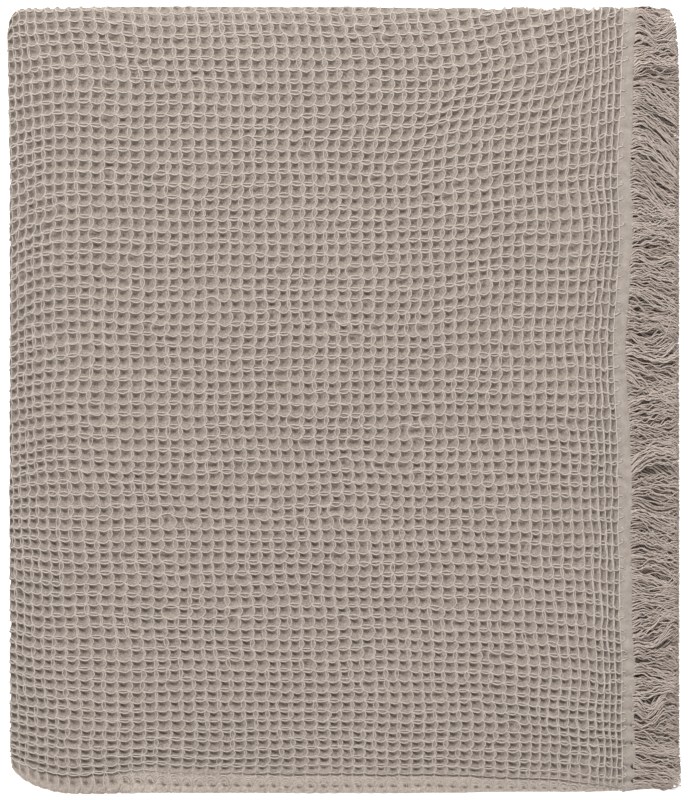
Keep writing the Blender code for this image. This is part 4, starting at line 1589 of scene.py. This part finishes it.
# The ridge is painted paler and the hollow darker than the walls: painted light and shade, with the hollow's
# looser weave
cotton_colour = hex_colour(WALL_COLOUR)
for share, code in ((ridge_top, RIDGE_COLOUR), (depth, HOLLOW_WEAVE_AND_SHADE_COLOUR)):
    cotton_colour = add_node(
        tree, "Mix", {"Factor": share, 6: cotton_colour, 7: hex_colour(code)}, data_type="RGBA"
    ).outputs[2]
print("ridge, wall and hollow:", RIDGE_COLOUR, WALL_COLOUR, HOLLOW_WEAVE_AND_SHADE_COLOUR)

# %% Lighter and darker spots: the cotton's own, and painted light and shade
ring_angle = add_node(tree, "Math", (distance, 2 * math.pi / RING_STEP), operation="MULTIPLY")
rings = add_node(tree, "Math", (ring_angle,), operation="COSINE")
blotches = add_node(tree, "TexNoise", {"Vector": place, "Scale": 1 / BLOTCH_SIZE, "Detail": 2.0})
loose_yarns = add_node(
    tree, "TexNoise", {"Vector": place, "Scale": 1 / LOOSE_YARN_SIZE, "Detail": 2.0, "Distortion": 1.2}
)
# What the lightness depends on, two of its values, and how light the cotton is at them. Blotches, loose
# yarns and rings are the cotton's own uneven tone. The last three are painted light and shade: the flat
# cells and the rows from just below the crease onwards, over the front fold, are painted lighter, and
# the crease is painted darker.
TONE_AND_PAINTED_LIGHT = (
    (blotches, 0.0, 1.0, 0.93, 1.07),
    (loose_yarns, 0.35, 0.65, 0.76, 1.22),
    (rings, -1.0, 1.0, 0.93, 1.07),
    # painted light: flat cells lighter, and the rows below the crease and over the front fold lighter
    (flat_cells, 0.0, 0.5, 1.0, 1.22),
    (counted.outputs[1], crease_row + 0.45, crease_row + 0.80, 1.0, 1.30),
    # painted shadow: the crease is painted darker
    (in_crease, 0.0, 1.0, 1.0, 0.55),
)
tone_and_painted_light = 1.0
for light in TONE_AND_PAINTED_LIGHT:
    factor = add_node(tree, "MapRange", light)
    tone_and_painted_light = add_node(tree, "Math", (tone_and_painted_light, factor), operation="MULTIPLY")
uneven = add_node(tree, "VectorMath", (cotton_colour, tone_and_painted_light), operation="MULTIPLY")
weave = crossed_threads(tree, grid, 2 * math.pi * THREADS_A_CELL)
rough = add_node(tree, "Math", (weave, 0.15, loose_yarns), operation="MULTIPLY_ADD")
ringed = add_node(tree, "Math", (rings, 0.12, rough), operation="MULTIPLY_ADD")
put_on(tree, uneven.outputs[0], ringed, 1.0, 0.0010)
print(len(tree.nodes), "nodes in the waffle weave")

# %% [markdown]
# A yarn is two plies twisted together, a full turn in about 3 mm. Its twist shows as slanting stripes, so
# the length along the yarn and the side of it are added up and go round in a sine.

# %% Twisted yarn
TWIST_LENGTH = 0.003


def yarn_cotton(name, dark, light):
    """Cotton yarn whose tone lies between two colours: its own, and for the seen fringe yarns partly painted
    shade.
    """
    material, tree, place, fibres = cotton(name)
    along_yarn = add_node(tree, "Attribute", attribute_name="yarn_place").outputs["Vector"]
    tone = add_node(tree, "Attribute", attribute_name="tone").outputs["Fac"]
    turns = add_node(tree, "VectorMath", (along_yarn, (1 / TWIST_LENGTH, 1.0, 0.0)), operation="DOT_PRODUCT")
    angle = add_node(tree, "Math", (turns.outputs["Value"], 2 * math.pi), operation="MULTIPLY")
    twist = add_node(tree, "Math", (angle,), operation="SINE")
    mixed = add_node(tree, "Math", (fibres, tone), operation="ADD")
    share = add_node(tree, "MapRange", (mixed, 0.2, 1.7))
    colour = add_node(
        tree, "Mix", {"Factor": share, 6: hex_colour(dark), 7: hex_colour(light)}, data_type="RGBA"
    )
    rough = add_node(tree, "Math", (twist, 0.3, fibres), operation="MULTIPLY_ADD")
    put_on(tree, colour.outputs[2], rough, 0.6, 0.0004)
    return material


ridge_yarn_cotton = yarn_cotton("ridge_yarn_cotton", "#a89d92", "#cabeb4")
fringe_yarn_cotton = yarn_cotton("fringe_yarn_cotton", "#8b7a6c", "#cdc0b7")
print("the twist turns once in", TWIST_LENGTH * 1000, "mm")

# %% [markdown]
# The header is plain weave, one thread over and one under, 0.7 mm apart. From above it is the smoothest
# and palest part of the cloth.

# %% Plain weave
HEADER_THREAD = 0.0007
PATCH_SIZE = 0.007
header_cotton, tree, place, fibres = cotton("plain_weave_cotton")
flat = add_node(tree, "Attribute", attribute_name="flat_place").outputs["Vector"]
# Random paler and darker patches, about 7 mm across, in the header's colour
patches = add_node(tree, "TexNoise", {"Vector": place, "Scale": 1 / PATCH_SIZE, "Detail": 3.0})
pale_share = add_node(tree, "Math", (patches, fibres), operation="ADD")
header_tone = add_node(tree, "MapRange", (pale_share, 0.7, 1.3))
colour = add_node(
    tree,
    "Mix",
    {"Factor": header_tone, 6: hex_colour("#8c8279"), 7: hex_colour("#aaa097")},
    data_type="RGBA",
)
weave = crossed_threads(tree, flat, math.pi / HEADER_THREAD)
rough = add_node(tree, "Math", (weave, 0.3, fibres), operation="MULTIPLY_ADD")
put_on(tree, colour.outputs[2], rough, 0.5, 0.0004)
print("one thread of the header is", HEADER_THREAD * 1000, "mm wide")

# %% Each piece gets its cotton
for pieces, material in (
    ([waffle_sheet], waffle_cotton),
    (ridge_yarns, ridge_yarn_cotton),
    (headers, header_cotton),
    (fringes, fringe_yarn_cotton),
):
    for piece in pieces:
        piece.data.materials.append(material)
print("materials:", [material.name for material in bpy.data.materials])

# %% [markdown]
# ## Studio
# The pile is seen from straight above and far away, so its sides hardly show. The light is a soft panel
# beyond the far edge, with a larger one in front of the pile and an even white room round it. The floor
# is plain and pale, and it glows a little, as paper does that is lit from all sides.

# %% Floor
FLOOR_HALF = 4.0
floor_mesh = bpy.data.meshes.new("floor")
corners = [(x * FLOOR_HALF, y * FLOOR_HALF, 0.0) for x, y in ((-1, -1), (1, -1), (1, 1), (-1, 1))]
floor_mesh.from_pydata(corners, [], [(0, 1, 2, 3)])
floor = bpy.data.objects.new("floor", floor_mesh)
bpy.context.scene.collection.objects.link(floor)
floor_paint = bpy.data.materials.new("pale_floor_paint")
floor_paint.use_nodes = True
floor_shader = floor_paint.node_tree.nodes["Principled BSDF"]
floor_shader.inputs["Base Color"].default_value = hex_colour("#f0efee")
floor_shader.inputs["Roughness"].default_value = 0.8
floor_shader.inputs["Emission Color"].default_value = (1.0, 1.0, 1.0, 1.0)
floor_shader.inputs["Emission Strength"].default_value = 0.68
floor_mesh.materials.append(floor_paint)
print("the floor is", 2 * FLOOR_HALF, "m wide")

# %% Camera
CAMERA_HEIGHT = 5.0
FRAME_HEIGHT = 0.680
VIEW_CENTRE = (0.00085, 0.0)
SENSOR_WIDTH = 36.0
camera_data = bpy.data.cameras.new("camera")
camera_data.sensor_fit = "VERTICAL"
camera_data.sensor_height = SENSOR_WIDTH
camera_data.lens = SENSOR_WIDTH * CAMERA_HEIGHT / FRAME_HEIGHT
camera_data.clip_end = 50
camera = bpy.data.objects.new("camera", camera_data)
camera.location = (*VIEW_CENTRE, STACK_HEIGHT + CAMERA_HEIGHT)
bpy.context.scene.collection.objects.link(camera)
bpy.context.scene.camera = camera
print(f"lens {camera_data.lens:.0f} mm, {CAMERA_HEIGHT} m above the pile")

# %% Light
# Name, place, size and power in watts of each panel, which faces the pile
PANELS = (
    ("key_panel", (-0.30, 2.75, 3.1), 1.3, 188),
    ("fill_panel", (0.0, -4.8, 2.2), 3.2, 118),
)
ROOM_LIGHT = 0.45
for name, (x, y, z), size, power in PANELS:
    panel_data = bpy.data.lights.new(name, "AREA")
    panel_data.size = size
    panel_data.energy = power
    panel = bpy.data.objects.new(name, panel_data)
    panel.location = (x, y, z)
    panel.rotation_euler = (math.atan2(math.hypot(x, y), z), 0.0, math.atan2(y, x) + math.pi / 2)
    bpy.context.scene.collection.objects.link(panel)
    print(name, "at", (x, y, z))
room = bpy.data.worlds.new("white_room")
bpy.context.scene.world = room
room.use_nodes = True
room.node_tree.nodes["Background"].inputs["Color"].default_value = (1.0, 1.0, 1.0, 1.0)
room.node_tree.nodes["Background"].inputs["Strength"].default_value = ROOM_LIGHT
bpy.context.scene.view_settings.view_transform = "Standard"
